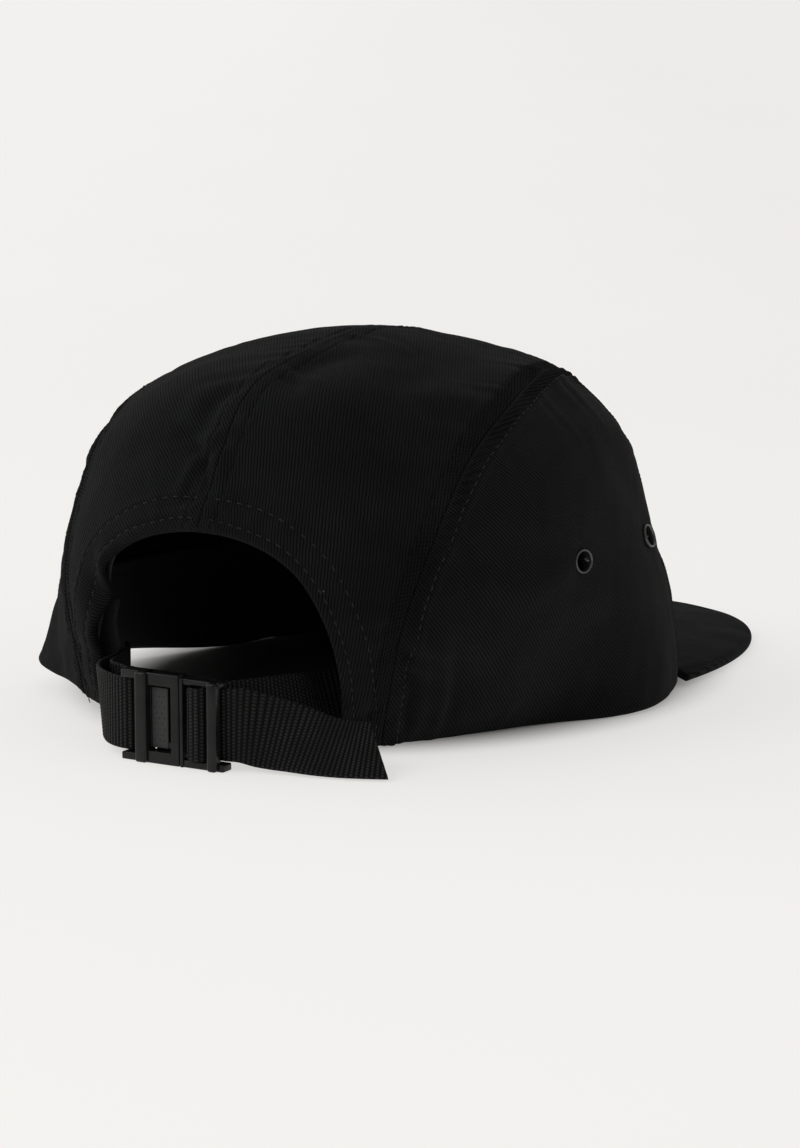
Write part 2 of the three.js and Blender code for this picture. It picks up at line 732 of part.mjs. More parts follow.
const SOCKET = table("x0 x1 y0 y1 z0 z1", [
  [SPLIT_X, SOCKET_END, BUCKLE_BACK, BUCKLE_FACE, 0, BUCKLE_RAIL],
  [SPLIT_X, SOCKET_END, BUCKLE_BACK, BUCKLE_FACE, RAIL_HEAD, BUCKLE_HEIGHT],
  [RAISED_X, RAISED_X + RAISED_BAR, BUCKLE_PROUD - RAISED_DEPTH, BUCKLE_PROUD, 0, BUCKLE_HEIGHT],
  [SPLIT_X, WINDOW_X, BRIDGE_FACE + GAP, BUCKLE_FACE, 0, BUCKLE_HEIGHT],
  [SPLIT_X, RAISED_X, BRIDGE_FACE + GAP, BUCKLE_FACE, 0, WINDOW_FOOT],
  [SPLIT_X, RAISED_X, BRIDGE_FACE + GAP, BUCKLE_FACE, BUCKLE_HEIGHT - WINDOW_FOOT, BUCKLE_HEIGHT],
  [...bar(LOOP_BAR_X, LOOP_BAR), LOOP_BAR_BACK, LOOP_BAR_FRONT, 0, BUCKLE_HEIGHT],
]);
const TONGUE = table("x0 x1 y0 y1 z0 z1", [
  [PLATE_X, RAISED_X - GAP, PLATE_BACK, PLATE_FACE, PLATE_FOOT, BUCKLE_HEIGHT - PLATE_FOOT],
  [TONGUE_X - TONGUE_WALL, PLATE_X + TONGUE_WALL, PLATE_BACK, BRIDGE_FACE, PLATE_FOOT, BUCKLE_HEIGHT - PLATE_FOOT],
  [TONGUE_X - TONGUE_WALL, TONGUE_X, PLATE_BACK, BUCKLE_FACE, 0, TONGUE_HEIGHT],
  [TONGUE_END, TONGUE_X, BUCKLE_BACK, BUCKLE_FACE, 0, BUCKLE_RAIL],
  [TONGUE_END + TOP_RAIL_SHORT, TONGUE_X, BUCKLE_BACK, BUCKLE_FACE, RAIL_HEAD, TONGUE_HEIGHT],
  [...bar(ADJUSTER_X, ADJUSTER_BAR), ADJUSTER_BACK, ADJUSTER_FRONT, 0, TONGUE_HEIGHT],
  [...bar(GRIP_X, GRIP_BAR), GRIP_BACK, GRIP_FACE, 0, TONGUE_HEIGHT],
]);

const meshes = {
  front: part("front_panel", frontPanel(), "cloth"),
  band: part("sweatband", sweatband(), "tape"),
  binding: part("arch_binding", archBinding(), "tape"),
  peak: part("peak", peak(), "cloth"),
  loop: part("strap_left", strip(LEFT_STRAP), "web"),
  tail: part("strap_right", slantCut(strip(RIGHT_STRAP), RIGHT_STRAP, TAIL_SLANT), "web"),
  socket: part("buckle_socket", blocks(SOCKET), "plastic"),
  tongue: part("buckle_tongue", blocks(TONGUE), "plastic"),
};

const panels = [];
const eyelets = [];
for (const { name, mirror } of HANDS) {
  panels.push(part("back_panel_" + name, backPanel(mirror), "cloth"));
  let side = sidePanel(mirror);
  for (const place of EYELETS) {
    const frame = eyeletFrame(mirror, place);
    side = side.subtract(eyeletHole(frame));
    eyelets.push(part("eyelet_" + name + "_" + place.name, eyelet(frame), "metal"));
  }
  panels.push(part("side_panel_" + name, side, "cloth"));
}

const cap = group(
  "cap",
  group("crown", meshes.front, ...panels, meshes.band, meshes.binding),
  group("eyelets", ...eyelets),
  meshes.peak,
  group("closure", meshes.loop, meshes.tail, meshes.socket, meshes.tongue),
);

// The frame's origin is the middle of the cap's box, on the table.
const box = new THREE.Box3().setFromObject(cap, true);
const middle = box.getCenter(vector());
cap.position.set(-middle.x, -middle.y, -box.min.z);

export default cap;
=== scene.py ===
import math

import bpy
import numpy as np
from mathutils import Matrix, Vector


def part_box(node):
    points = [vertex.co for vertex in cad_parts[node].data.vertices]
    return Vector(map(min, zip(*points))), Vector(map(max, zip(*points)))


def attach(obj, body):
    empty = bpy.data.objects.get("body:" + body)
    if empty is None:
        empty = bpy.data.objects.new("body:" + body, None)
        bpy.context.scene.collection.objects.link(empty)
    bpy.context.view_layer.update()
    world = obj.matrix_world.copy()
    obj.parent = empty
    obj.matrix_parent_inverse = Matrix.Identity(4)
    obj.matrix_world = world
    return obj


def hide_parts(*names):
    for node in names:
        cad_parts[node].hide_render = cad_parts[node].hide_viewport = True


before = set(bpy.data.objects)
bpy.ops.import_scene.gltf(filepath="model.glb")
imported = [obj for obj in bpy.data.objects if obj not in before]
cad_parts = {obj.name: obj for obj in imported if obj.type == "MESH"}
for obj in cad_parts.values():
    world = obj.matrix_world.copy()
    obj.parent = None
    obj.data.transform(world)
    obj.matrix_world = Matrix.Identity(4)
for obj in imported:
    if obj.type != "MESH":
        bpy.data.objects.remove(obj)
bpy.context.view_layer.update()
bpy.ops.object.select_all(action="DESELECT")

# All sizes are in millimetres, turned into metres where a mesh is filled in.
MM = 0.001
PEAK_HALF_WIDTH = 76.5
PEAK_CENTRE_Y = -59
PEAK_LENGTH = 109
PEAK_THICK = 2.4
PEAK_SPREAD = 50
PEAK_SIDE_POWER = 2.4
PEAK_FRONT_POWER = 2.3
PEAK_RISE = 1.2
# The frame's origin is the middle of the cap's box. The peak is symmetric about x = 0 in these tables.
PEAK_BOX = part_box("peak")
MIDDLE = np.array([
    -(PEAK_BOX[0][0] + PEAK_BOX[1][0]) / 2 / MM,
    PEAK_CENTRE_Y - PEAK_LENGTH - PEAK_BOX[0][1] / MM,
    0.0,
])

HALF_WIDTH = 82
FRONT_REACH = 93
BACK_REACH = 93
CROWN_HEIGHT = 108
CLOTH = 1.3
RIM_BLEND_START = 0.6
RIM_BLEND_POWER = 1.8
TOP_EDGE_Q = -0.3
RIM_REACH = 95
RIM_LIFT = 8
FOLD_DEPTH = 3.6

# Sections of the dome against the share of the way out from the top: reaches and heights as shares.
SECTION_COLUMNS = "out side front back rise_side rise_front rise_back square_front square_back"
SECTIONS = [
    (0.0, 0.0, 0.0, 0.0, 1.0, 1.0, 1.0, 2.0, 2.0),
    (0.2, 0.392, 0.358, 0.378, 0.952, 0.959, 0.952, 2.1, 2.0),
    (0.37, 0.71, 0.633, 0.671, 0.855, 0.869, 0.874, 2.2, 2.05),
    (0.51, 0.886, 0.793, 0.829, 0.711, 0.706, 0.699, 2.35, 2.1),
    (0.66, 0.95, 0.874, 0.955, 0.481, 0.466, 0.509, 2.5, 2.15),
    (0.83, 0.986, 0.95, 0.986, 0.239, 0.235, 0.251, 2.7, 2.2),
    (1.0, 1.0, 1.0, 0.95, 0.0, 0.0, 0.0, 2.9, 2.2),
]
# The rim: bearing in degrees from the front, + to the wearer's left, then shares of RIM_REACH and RIM_LIFT.
RIM = [
    (-180, 0.821, 0.375), (-153, 0.741, 0.087), (-141, 0.704, 0.05), (-116, 0.654, 0.025),
    (-91, 0.728, 0.013), (-75, 0.897, 0.11), (-62, 0.961, 0.33), (-50, 0.979, 0.41),
    (-30, 1.002, 0.375), (0, 1, 0.25), (30, 0.989, 0.188), (50, 0.947, 0.062),
    (62, 0.895, 0.013), (80, 0.905, 0.375), (97, 0.979, 0.75), (110, 1.026, 1),
    (127, 0.947, 1), (141, 0.895, 0.938), (158, 0.905, 0.75), (180, 0.821, 0.375),
]
# Dents: place, turn in degrees, length and width in shares of the way out, depth in FOLD_DEPTH.
DENTS = [
    (0.32, 0.7, 60, 0.09, 0.05, -1),
    (0.64, 0.3, 70, 0.3, 0.05, -0.5),
    (0.7, 0.16, 72, 0.3, 0.05, 0.33),
    (0.08, 0.42, 95, 0.12, 0.05, -0.36),
    (-0.52, 0.5, 50, 0.2, 0.04, -0.22),
    (-0.66, 0.56, 48, 0.16, 0.05, -0.44),
    (-0.75, 0.38, 30, 0.16, 0.05, 0.39),
    (-0.32, 0.3, 110, 0.14, 0.06, -0.28),
    (-0.55, -0.2, 60, 0.1, 0.05, -0.22),
]
# Seams and the arch's edge on the left half, from the rim upwards. The right half mirrors them.
SIDE_SEAM = [
    (0.585, 0.811), (0.531, 0.704), (0.497, 0.632), (0.452, 0.5), (0.435, 0.433),
    (0.398, 0.289), (0.366, 0.1), (0.336, -0.02), (0.295, -0.14), (0.25, -0.265),
]
FRONT_SEAM = [
    (0.77, -0.638), (0.66, -0.575), (0.54, -0.49), (0.42, -0.395), (0.325, -0.32), (0.25, -0.265),
]
ARCH_EDGE = [
    (0.448, 0.894), (0.424, 0.82), (0.39, 0.765), (0.345, 0.715), (0.295, 0.675),
    (0.24, 0.645), (0.185, 0.628), (0.125, 0.618), (0.06, 0.613), (0.0, 0.612),
]
EYELETS = [("rear", 0.677, 0.08), ("front", 0.605, -0.315)]
# Creases in the worn cloth: from one flat place to another, half width there, and depth in mm.
CREASES = [
    (0.702, 0.261, 0.893, 0.170, 0.026, -1.3), (0.751, 0.290, 0.966, 0.165, 0.024, 0.9),
    (0.060, 0.427, 0.036, 0.332, 0.024, -0.8), (-0.066, 0.339, -0.062, 0.160, 0.030, -0.8),
    (-0.255, 0.323, -0.210, 0.141, 0.045, -0.9), (-0.489, 0.618, -0.633, 0.729, 0.026, -1.3),
    (-0.571, 0.549, -0.728, 0.644, 0.028, 1.1), (-0.679, 0.092, -0.557, 0.417, 0.034, 0.9),
    (-0.751, -0.217, -0.637, 0.367, 0.040, 0.8), (-0.367, 0.109, -0.302, -0.126, 0.060, 1.0),
    (0.400, 0.247, 0.600, 0.266, 0.026, -0.7), (0.600, 0.266, 0.856, 0.198, 0.024, -0.9),
    (0.856, 0.198, 1.0, 0.090, 0.026, -0.8), (0.100, 0.428, 0.010, 0.530, 0.014, -0.6),
    (0.048, 0.556, 0.006, 0.457, 0.012, -0.5),
]

WEB_WIDTH = 20
WEB_THICK = 1.5
WEB_LOW = 2.4
TAIL_SLANT = 7
TAIL_SPARE = 1.6
RIB_PITCH = 1.4
RIB_STEPS = 5
BEAD_PITCH = 0.95
GAP = 0.3
WRAP = WEB_THICK / 2 + GAP

# The buckle: x across the back from the wearer's right, y outwards, z up.
BUCKLE_HEIGHT = 25
TONGUE_HEIGHT = 24.4
BUCKLE_BACK = 98.2
BUCKLE_FACE = BUCKLE_BACK + 4.7
BUCKLE_PROUD = BUCKLE_FACE + 1.1
SOCKET_END, TONGUE_END, SPLIT_X = 14, -19.1, -5.1
WINDOW_X = SPLIT_X + 2.5
RAISED_X = WINDOW_X + 7.5
LOOP_BAR = 1.6
LOOP_BAR_X = SOCKET_END - LOOP_BAR / 2
LOOP_BAR_BACK = BUCKLE_BACK - 0.4
LOOP_BAR_FRONT = LOOP_BAR_BACK + 1.1
ADJUSTER_X, ADJUSTER_BAR = -10.55, 2.1
ADJUSTER_BACK = BUCKLE_BACK + 1
ADJUSTER_FRONT = ADJUSTER_BACK + 2.6
GRIP_X, GRIP_BAR = -16.1, 3
GRIP_FACE = BUCKLE_PROUD + 0.2
GRIP_BACK = GRIP_FACE - 3.5

RAIL = WEB_LOW - GAP
RAIL_HEAD = WEB_LOW + WEB_WIDTH + GAP
PLATE_FACE = BUCKLE_FACE - 1.5
PLATE_BACK = PLATE_FACE - 4
BRIDGE_FACE = PLATE_BACK + 1.8
PLATE_X = WINDOW_X + 1.9
PLATE_FOOT, PLATE_HEAD = 4.1, 20.9
TONGUE_X = SPLIT_X - GAP

# The straps in plan: middle of the webbing, height of its lower edge, and its lean out at the foot.
LEFT_STRAP = [
    (42.4, 63.6, 2.6, 0), (36.5, 70.2, 2.6, 0), (32.8, 77, 2.6, -3), (30.6, 84.6, 2.6, -6),
    (26.4, 92.4, 2.5, -4), (20.6, 98, WEB_LOW, 0),
    (LOOP_BAR_X + 2, LOOP_BAR_FRONT + WRAP + 0.3, WEB_LOW, 0),
    (LOOP_BAR_X - 1, LOOP_BAR_FRONT + WRAP + 0.3, WEB_LOW, 0),
    (SOCKET_END - LOOP_BAR - WRAP - 0.8, (LOOP_BAR_BACK + LOOP_BAR_FRONT) / 2 + 0.2, WEB_LOW, 0),
    (LOOP_BAR_X - 1, LOOP_BAR_BACK - WRAP - 0.4, WEB_LOW, 0),
    (LOOP_BAR_X + 2.6, LOOP_BAR_BACK - WRAP - 2.2, WEB_LOW, 0),
    (21.8, 88.8, 2.5, 0), (28.2, 83.4, 2.6, 5), (31, 76, 2.6, 3), (35, 69.1, 2.6, 0),
    (40.6, 61.4, 2.6, 0),
]
RIGHT_STRAP = [
    (-36.4, 47.8, 1.6, -22), (-32.9, 52.6, 1.6, -24), (-29, 59.2, 1.7, -24),
    (-26.8, 66.4, 1.9, -19), (-22.6, 76.4, 2.1, -12), (-16.6, 87.2, 2.3, -5),
    (ADJUSTER_X - 0.7, 94.6, WEB_LOW, -1),
    (ADJUSTER_X + ADJUSTER_BAR / 2 + WRAP - 0.2, ADJUSTER_BACK - 1.2, WEB_LOW, 0),
    (ADJUSTER_X + ADJUSTER_BAR / 2 + WRAP + 0.5, ADJUSTER_FRONT - 0.8, WEB_LOW, 0),
    (ADJUSTER_X + ADJUSTER_BAR / 2 + 0.4, ADJUSTER_FRONT + WRAP + 0.35, WEB_LOW, 0),
    (ADJUSTER_X, ADJUSTER_FRONT + WRAP + 0.65, WEB_LOW, 0),
    (ADJUSTER_X - ADJUSTER_BAR / 2 - 0.5, ADJUSTER_FRONT + WRAP + 0.35, WEB_LOW, 0),
    (ADJUSTER_X - ADJUSTER_BAR / 2 - WRAP - 0.6, ADJUSTER_FRONT - 0.6, WEB_LOW, 0),
    (GRIP_X + GRIP_BAR / 2 + 0.3, GRIP_BACK - WRAP - 0.35, WEB_LOW, 0),
    (GRIP_X - GRIP_BAR / 2 - 0.4, GRIP_BACK - WRAP - 0.65, WEB_LOW, 0),
    (-21.4, 98.4, 2.35, 7), (-25.6, 97.4, 1.5, 24), (-30, 96.8, 1.2, 33), (-34.5, 96.2, 1.1, 41),
    (-41.4, 95.3, 0.9, 50), (-48.6, 93.7, 0.8, 55), (-54.4, 91.7, 0.8, 55), (-63.6, 87.6, 0.8, 54),
]


def natural_spline(xs, ys):
    """A smooth curve through the points, as a function of x."""
    xs, ys = np.array(xs, float), np.array(ys, float)
    gaps = np.diff(xs)
    size = len(xs)
    matrix, turn = np.eye(size), np.zeros(size)
    for i in range(1, size - 1):
        matrix[i, i - 1:i + 2] = gaps[i - 1], 2 * (gaps[i - 1] + gaps[i]), gaps[i]
        turn[i] = 6 * ((ys[i + 1] - ys[i]) / gaps[i] - (ys[i] - ys[i - 1]) / gaps[i - 1])
    bend = np.linalg.solve(matrix, turn)

    def at(x):
        x = np.asarray(x, float)
        i = np.clip(np.searchsorted(xs, x) - 1, 0, size - 2)
        a = (xs[i + 1] - x) / gaps[i]
        b = 1 - a
        curve = (a**3 - a) * bend[i] + (b**3 - b) * bend[i + 1]
        return a * ys[i] + b * ys[i + 1] + curve * gaps[i] ** 2 / 6

    return at


def section(name, sign):
    """A column of the sections, carried through the top as an even or an odd curve."""
    column = SECTION_COLUMNS.split().index(name)
    outs = [row[0] for row in SECTIONS]
    values = [row[column] for row in SECTIONS]
    return natural_spline([-x for x in outs[:0:-1]] + outs, [sign * y for y in values[:0:-1]] + values)


def around(column, whole):
    bearings = [row[0] for row in RIM]
    values = [row[column] * whole for row in RIM]
    return natural_spline(
        [x - 360 for x in bearings[:-1]] + bearings + [x + 360 for x in bearings[1:]],
        values[:-1] + values + values[1:],
    )


SIDE, FRONT, BACK = section("side", -1), section("front", -1), section("back", -1)
RISE_SIDE, RISE_FRONT, RISE_BACK = section("rise_side", 1), section("rise_front", 1), section("rise_back", 1)
SQUARE_FRONT, SQUARE_BACK = section("square_front", 1), section("square_back", 1)
REACH, LIFT = around(1, RIM_REACH), around(2, RIM_LIFT)


def dome(flat):
    """The smooth outer face over a place on the cap pressed flat: 0 at the top, 1 at the rim."""
    out = np.maximum(np.hypot(flat[:, 0], flat[:, 1]), 1e-5)
    across = flat[:, 0] / out
    along = np.where(out > 1e-5, flat[:, 1] / out, 1)
    side = SIDE(out) * HALF_WIDTH
    length = np.where(along < 0, FRONT(out) * FRONT_REACH, BACK(out) * BACK_REACH)
    front_share = (1 - along) / 2
    square = SQUARE_BACK(out) * (1 - front_share) + SQUARE_FRONT(out) * front_share
    total = np.abs(along / length) ** square + np.abs(across / side) ** square
    bearing = np.degrees(np.arctan2(across, -along))
    low = np.clip((out - RIM_BLEND_START) / (1 - RIM_BLEND_START), 0, 1) ** RIM_BLEND_POWER
    radius = (1 - low) * total ** (-1 / square) + low * REACH(bearing)
    rise_end = np.where(along < 0, RISE_FRONT(out), RISE_BACK(out))
    rise = across**2 * RISE_SIDE(out) + along**2 * rise_end
    return np.column_stack([radius * across, radius * along, CROWN_HEIGHT * rise + LIFT(bearing) * low])


def unit(vectors):
    return vectors / np.linalg.norm(vectors, axis=-1, keepdims=True)


def slopes(face, flat, step=0.004):
    over_p = (face(flat + (step, 0)) - face(flat - (step, 0))) / (2 * step)
    over_q = (face(flat + (0, step)) - face(flat - (0, step))) / (2 * step)
    return over_p, over_q


def facing(face, flat):
    return unit(np.cross(*slopes(face, flat)))


def dent_at(flat):
    depth = np.zeros(len(flat))
    for p, q, turn, long, wide, deep in DENTS:
        c, s = math.cos(math.radians(turn)), math.sin(math.radians(turn))
        a = (flat[:, 0] - p) * c + (flat[:, 1] - q) * s
        b = (flat[:, 1] - q) * c - (flat[:, 0] - p) * s
        depth += FOLD_DEPTH * deep * np.exp(-((a / long) ** 2) - (b / wide) ** 2)
    return depth


def skin(flat):
    """The cloth's outer face with its folds, before its seams."""
    return dome(flat) + facing(dome, flat) * dent_at(flat)[:, None]


def curve_through(points, steps=24):
    """Points along a smooth curve through the given ones, `steps` for each gap."""
    ends = np.vstack([2 * points[0] - points[1], points, 2 * points[-1] - points[-2]])
    share = np.linspace(0, 1, steps, endpoint=False)[:, None]
    pieces = []
    for a, b, c, d in zip(ends, ends[1:], ends[2:], ends[3:]):
        before, here, after = (math.sqrt(np.linalg.norm(v)) for v in (b - a, c - b, d - c))
        leave = ((b - a) / before - (c - a) / (before + here) + (c - b) / here) * here
        arrive = ((c - b) / here - (d - b) / (here + after) + (d - c) / after) * here
        square = -3 * b + 3 * c - 2 * leave - arrive
        cube = 2 * b - 2 * c + leave + arrive
        pieces.append(b + leave * share + square * share**2 + cube * share**3)
    return np.vstack(pieces + [points[-1:]])


def through(rows, mirror=1):
    """A smooth run through flat places, as a function of the share of its length."""
    points = np.array(rows, float) * (mirror, 1)
    return by_length(curve_through(points))


def lengths(line):
    """The length along a line at each of its points."""
    return np.append(0, np.cumsum(np.linalg.norm(np.diff(line, axis=0), axis=1)))


def by_length(line):
    length = lengths(line)
    length /= length[-1]
    return lambda share: np.column_stack([np.interp(share, length, column) for column in line.T])


def straight(start, end):
    return lambda share: np.outer(1 - np.atleast_1d(share), start) + np.outer(np.atleast_1d(share), end)


def joined(first, second, at):
    def run(share):
        share = np.atleast_1d(share)
        early = first(np.clip(share / at, 0, 1))
        late = second(np.clip((share - at) / (1 - at), 0, 1))
        return np.where((share < at)[:, None], early, late)
    return run


def rim_between(start, end):
    first, last = (math.atan2(v[0], -v[1]) for v in (start, end))

    def run(share):
        bearing = first + (last - first) * np.atleast_1d(share)
        return np.column_stack([np.sin(bearing), -np.cos(bearing)])
    return run


class Run:
    """A sewn line on the crown's face, with the length along it."""

    def __init__(self, flat_at, pieces=600):
        self.flat_at = flat_at
        self.flat = flat_at(np.linspace(0, 1, pieces + 1))
        self.face = skin(self.flat)
        self.length = lengths(self.face)
        self.tangent = unit(np.gradient(self.face, axis=0))

    def measure(self, face):
        """How far points are from the run, and how far along it."""
        away, along = np.empty(len(face)), np.empty(len(face))
        own = (self.face**2).sum(1)
        for start in range(0, len(face), 20000):
            some = face[start:start + 20000]
            near = (own - 2 * some @ self.face.T).argmin(1)
            step = some - self.face[near]
            ahead = (step * self.tangent[near]).sum(1)
            away[start:start + 20000] = np.linalg.norm(step - ahead[:, None] * self.tangent[near], axis=1)
            along[start:start + 20000] = self.length[near] + ahead
        return away, along

    def beside(self, at, inset, towards):
        """Flat places `inset` mm beside the run, on the side of a flat place, at these mm along it."""
        pick = lambda values: np.column_stack([np.interp(at, self.length, v) for v in values.T])
        flat, tangent = pick(self.flat), unit(pick(self.tangent))
        over_p, over_q = slopes(skin, flat)
        aside = np.cross(unit(np.cross(over_p, over_q)), tangent) * np.atleast_1d(inset)[:, None]
        pp, pq, qq = (over_p**2).sum(1), (over_p * over_q).sum(1), (over_q**2).sum(1)
        ap, aq = (over_p * aside).sum(1), (over_q * aside).sum(1)
        room = pp * qq - pq**2
        move = np.column_stack([(ap * qq - aq * pq) / room, (aq * pp - ap * pq) / room])
        if ((np.array(towards) - flat) * move).sum() < 0:
            move = -move
        return flat + move


LEFT, RIGHT = 1, -1
APEX = (0, ARCH_EDGE[-1][1])
TOP_MIDDLE = (0, TOP_EDGE_Q)
CORNER = SIDE_SEAM[-1]


def top_seam(start, end):
    """The seam over the top, bowed forward in its middle."""
    def run(share):
        p = start + (end - start) * np.atleast_1d(share)
        return np.column_stack([p, CORNER[1] + (TOP_EDGE_Q - CORNER[1]) * (1 - (p / CORNER[0]) ** 2)])
    return run


ARCH, SIDES, FRONTS = (
    {hand: Run(through(rows, hand)) for hand in (LEFT, RIGHT)} for rows in (ARCH_EDGE, SIDE_SEAM, FRONT_SEAM)
)
CENTRE = Run(straight(APEX, TOP_MIDDLE))
TOP = Run(top_seam(-CORNER[0], CORNER[0]))
RIM_RUN = Run(rim_between((0.0, 1.0), (-1e-9, 1.0)), 1400)


def patch(left, right, foot, head, s, t):
    """The flat places between four edges: left and right run up, foot and head from left to right."""
    rows, places = len(t), len(s)
    a, b, c, d = left(t)[:, None], right(t)[:, None], foot(s)[None], head(s)[None]
    s, t = s[None, :, None], t[:, None, None]
    corners = (
        a[:1] * (1 - s) * (1 - t) + b[:1] * s * (1 - t) + a[-1:] * (1 - s) * t + b[-1:] * s * t
    )
    return (a * (1 - s) + b * s + c * (1 - t) + d * t - corners).reshape(rows * places, 2)


def graded(length, gaps, both=True):
    """Shares from 0 to 1 across `length` mm, with the gaps given by (mm from a sewn edge, gap) rows."""
    aways, sizes = zip(*gaps)
    places = [0.0]
    while places[-1] < length:
        away = min(places[-1], length - places[-1]) if both else places[-1]
        places.append(places[-1] + np.interp(away, aways, sizes))
    while (len(places) - 1) % COARSE:
        places.append(places[-1] + sizes[0])
    return np.array(places) / places[-1]


COARSE = 4
ACROSS_GAPS = [(0, 0.14), (1, 0.28), (3, 0.42), (10.5, 0.5), (20, 1.4)]
UP_GAPS = [(0, 0.16), (1.5, 0.26), (4, 0.33)]


def wander(seed, wavelength, waves=14):
    """A smooth random relief over space, about -1 to 1, the same on each run."""
    dice = np.random.default_rng(seed)
    ways = unit(dice.normal(size=(waves, 3))) * 2 * math.pi / wavelength
    ways *= dice.uniform(0.7, 1.4, size=(waves, 1))
    start = dice.uniform(0, 2 * math.pi, waves)
    return lambda face: np.sin(face @ ways.T + start).sum(1) / math.sqrt(waves)


def ripple(seed, pitch, spread=0.3, waves=5):
    """The same along one line."""
    dice = np.random.default_rng(seed)
    turns = 2 * math.pi / (pitch * dice.uniform(1 - spread, 1 + spread, waves))
    start = dice.uniform(0, 2 * math.pi, waves)
    return lambda along: np.sin(np.outer(along, turns) + start).sum(1) / math.sqrt(waves)


def ribs(seed, pitch):
    """Little ribs along a line, almost evenly spaced."""
    sway = ripple(seed, 14)
    return lambda along: np.sin(2 * math.pi * along / pitch + 0.8 * sway(along))


def smooth(x, low, high):
    x = np.clip((x - low) / (high - low), 0, 1)
    return x * x * (3 - 2 * x)


RIB_PUCKER = 1.2
CRUMPLES = [(wander(3, 42), 0.55), (wander(4, 18), 0.22), (wander(5, 8), 0.06)]


class Sewn:
    """How the cloth stands beside one sewn edge.

    drop and round: how far and over what width the edge turns in; layer: how high the folded
    layers lift the cloth, to `wide` mm; rows: where the stitch rows run; pucker: how deep the
    little ribs between edge and first row are; pull: how deep the longer creases are.
    """

    def __init__(self, run, drop, round_, layer, wide, rows, pucker, pull, seed):
        self.run, self.drop, self.round, self.layer, self.wide = run, drop, round_, layer, wide
        self.rows, self.pucker, self.pull = rows, pucker, pull
        self.ribs = ribs(seed, RIB_PUCKER)
        self.swell = ripple(seed + 1, 24)
        self.creases = ripple(seed + 2, 11)
        self.sway = ripple(seed + 3, 30)

    def turned_in(self, away):
        x = np.clip(1 - away / self.round, 0, 1)
        return -self.drop * (1 - np.sqrt(np.maximum(1 - x * x, 0)))

    def relief(self, away, along):
        up = self.layer * (1 - smooth(away, self.wide, self.wide + 2.5))
        for row in self.rows:
            up = up - 0.34 * np.exp(-(((away - row) / 0.6) ** 2))
        if self.rows:
            first = self.rows[0]
            room = smooth(away, 0.2, 1.2) * (1 - smooth(away, first - 0.8, first + 0.6))
            amount = 0.8 + 0.2 * np.clip(self.swell(along), -1, 1)
            up = up + self.pucker * room * amount * self.ribs(along + 0.5 * away)
        fade = np.exp(-away / 9) * smooth(away, 0.5, 5)
        return up + self.pull * fade * self.creases(along + 3 * self.sway(along) + 0.4 * away)


CREASE_DEPTH = 1.6
# Soft swellings of the cloth: flat place, radius there, and height in mm.
SWELLS = [
    (0.262, 0.652, 0.034, 1.8), (0.318, 0.702, 0.028, -1.6), (0.362, 0.748, 0.030, 1.9),
    (0.410, 0.800, 0.028, -1.2), (-0.300, 0.690, 0.050, 0.7),
]


def creased(flat):
    """A valley with a softer ridge beside it along each crease."""
    up = np.zeros(len(flat))
    for p0, q0, p1, q1, wide, deep in CREASES:
        way = np.array([p1 - p0, q1 - q0])
        length = np.hypot(*way)
        way /= length
        step = flat - (p0, q0)
        along = step @ way / length
        beside = (step @ (-way[1], way[0]) - 0.1 * length * np.sin(3 * along)) / wide
        ends = np.exp(-np.abs(2 * along - 1) ** 4 * 0.7)
        up += CREASE_DEPTH * deep * ends * (np.exp(-beside**2) - 0.55 * np.exp(-((beside - 1.7) / 1.2) ** 2))
    for p, q, radius, high in SWELLS:
        up += high * np.exp(-((flat - (p, q)) ** 2).sum(1) / radius**2)
    return up


def relief_of(*rows):
    """The cloth's relief beside the edges whose rows these are, in the order that Sewn takes them."""
    edges = [Sewn(*row) for row in rows]

    def relief(flat):
        face = skin(flat)
        up = creased(flat)
        turned = np.zeros(len(flat))
        for edge in edges:
            away, along = edge.run.measure(face)
            up += edge.relief(away, along)
            turned = np.minimum(turned, edge.turned_in(away))
        for noise, size in CRUMPLES:
            up += noise(face) * size * 0.6
        for hand in (LEFT, RIGHT):
            for _, p, q in EYELETS:
                middle = skin(np.array([[hand * p, q]]))
                far = np.linalg.norm(face - middle, axis=1)
                up -= 0.55 * np.exp(-((far / 5.2) ** 2))
        return up + turned
    return relief


def cloth_face(relief, depth=0.0):
    """The cloth's face as sewn, `depth` mm under its outside."""
    def face(flat):
        normal = facing(dome, flat)
        up = dent_at(flat) + relief(flat) - depth
        return dome(flat) + normal * up[:, None]
    return face


def fill(obj, points):
    obj.data.vertices.foreach_set("co", ((points - MIDDLE) * MM).astype(np.float32).ravel())
    obj.data.update()


def added(primitive, name="shape", **settings):
    """A new simple shape, the only object selected."""
    bpy.ops.object.select_all(action="DESELECT")
    primitive(**settings)
    obj = bpy.context.active_object
    obj.name = name
    return obj


def added_grid(name, places, rows):
    """A flat grid with that many points each way, ready to be laid on the form."""
    return added(bpy.ops.mesh.primitive_grid_add, name,
                 x_subdivisions=places - 1, y_subdivisions=rows - 1, size=0.1)


def edit(*steps):
    bpy.ops.object.mode_set(mode="EDIT")
    bpy.ops.mesh.select_all(action="SELECT")
    for step in steps:
        step()
    bpy.ops.object.mode_set(mode="OBJECT")


def apply(obj, kind, **settings):
    bpy.context.view_layer.objects.active = obj
    modifier = obj.modifiers.new(kind.title(), kind)
    for key, value in settings.items():
        setattr(modifier, key, value)
    bpy.ops.object.modifier_apply(modifier=modifier.name)


def combine(base, others, operation):
    for other in others:
        apply(base, "BOOLEAN", object=other, operation=operation, solver="EXACT")
        bpy.data.objects.remove(other)
    return base


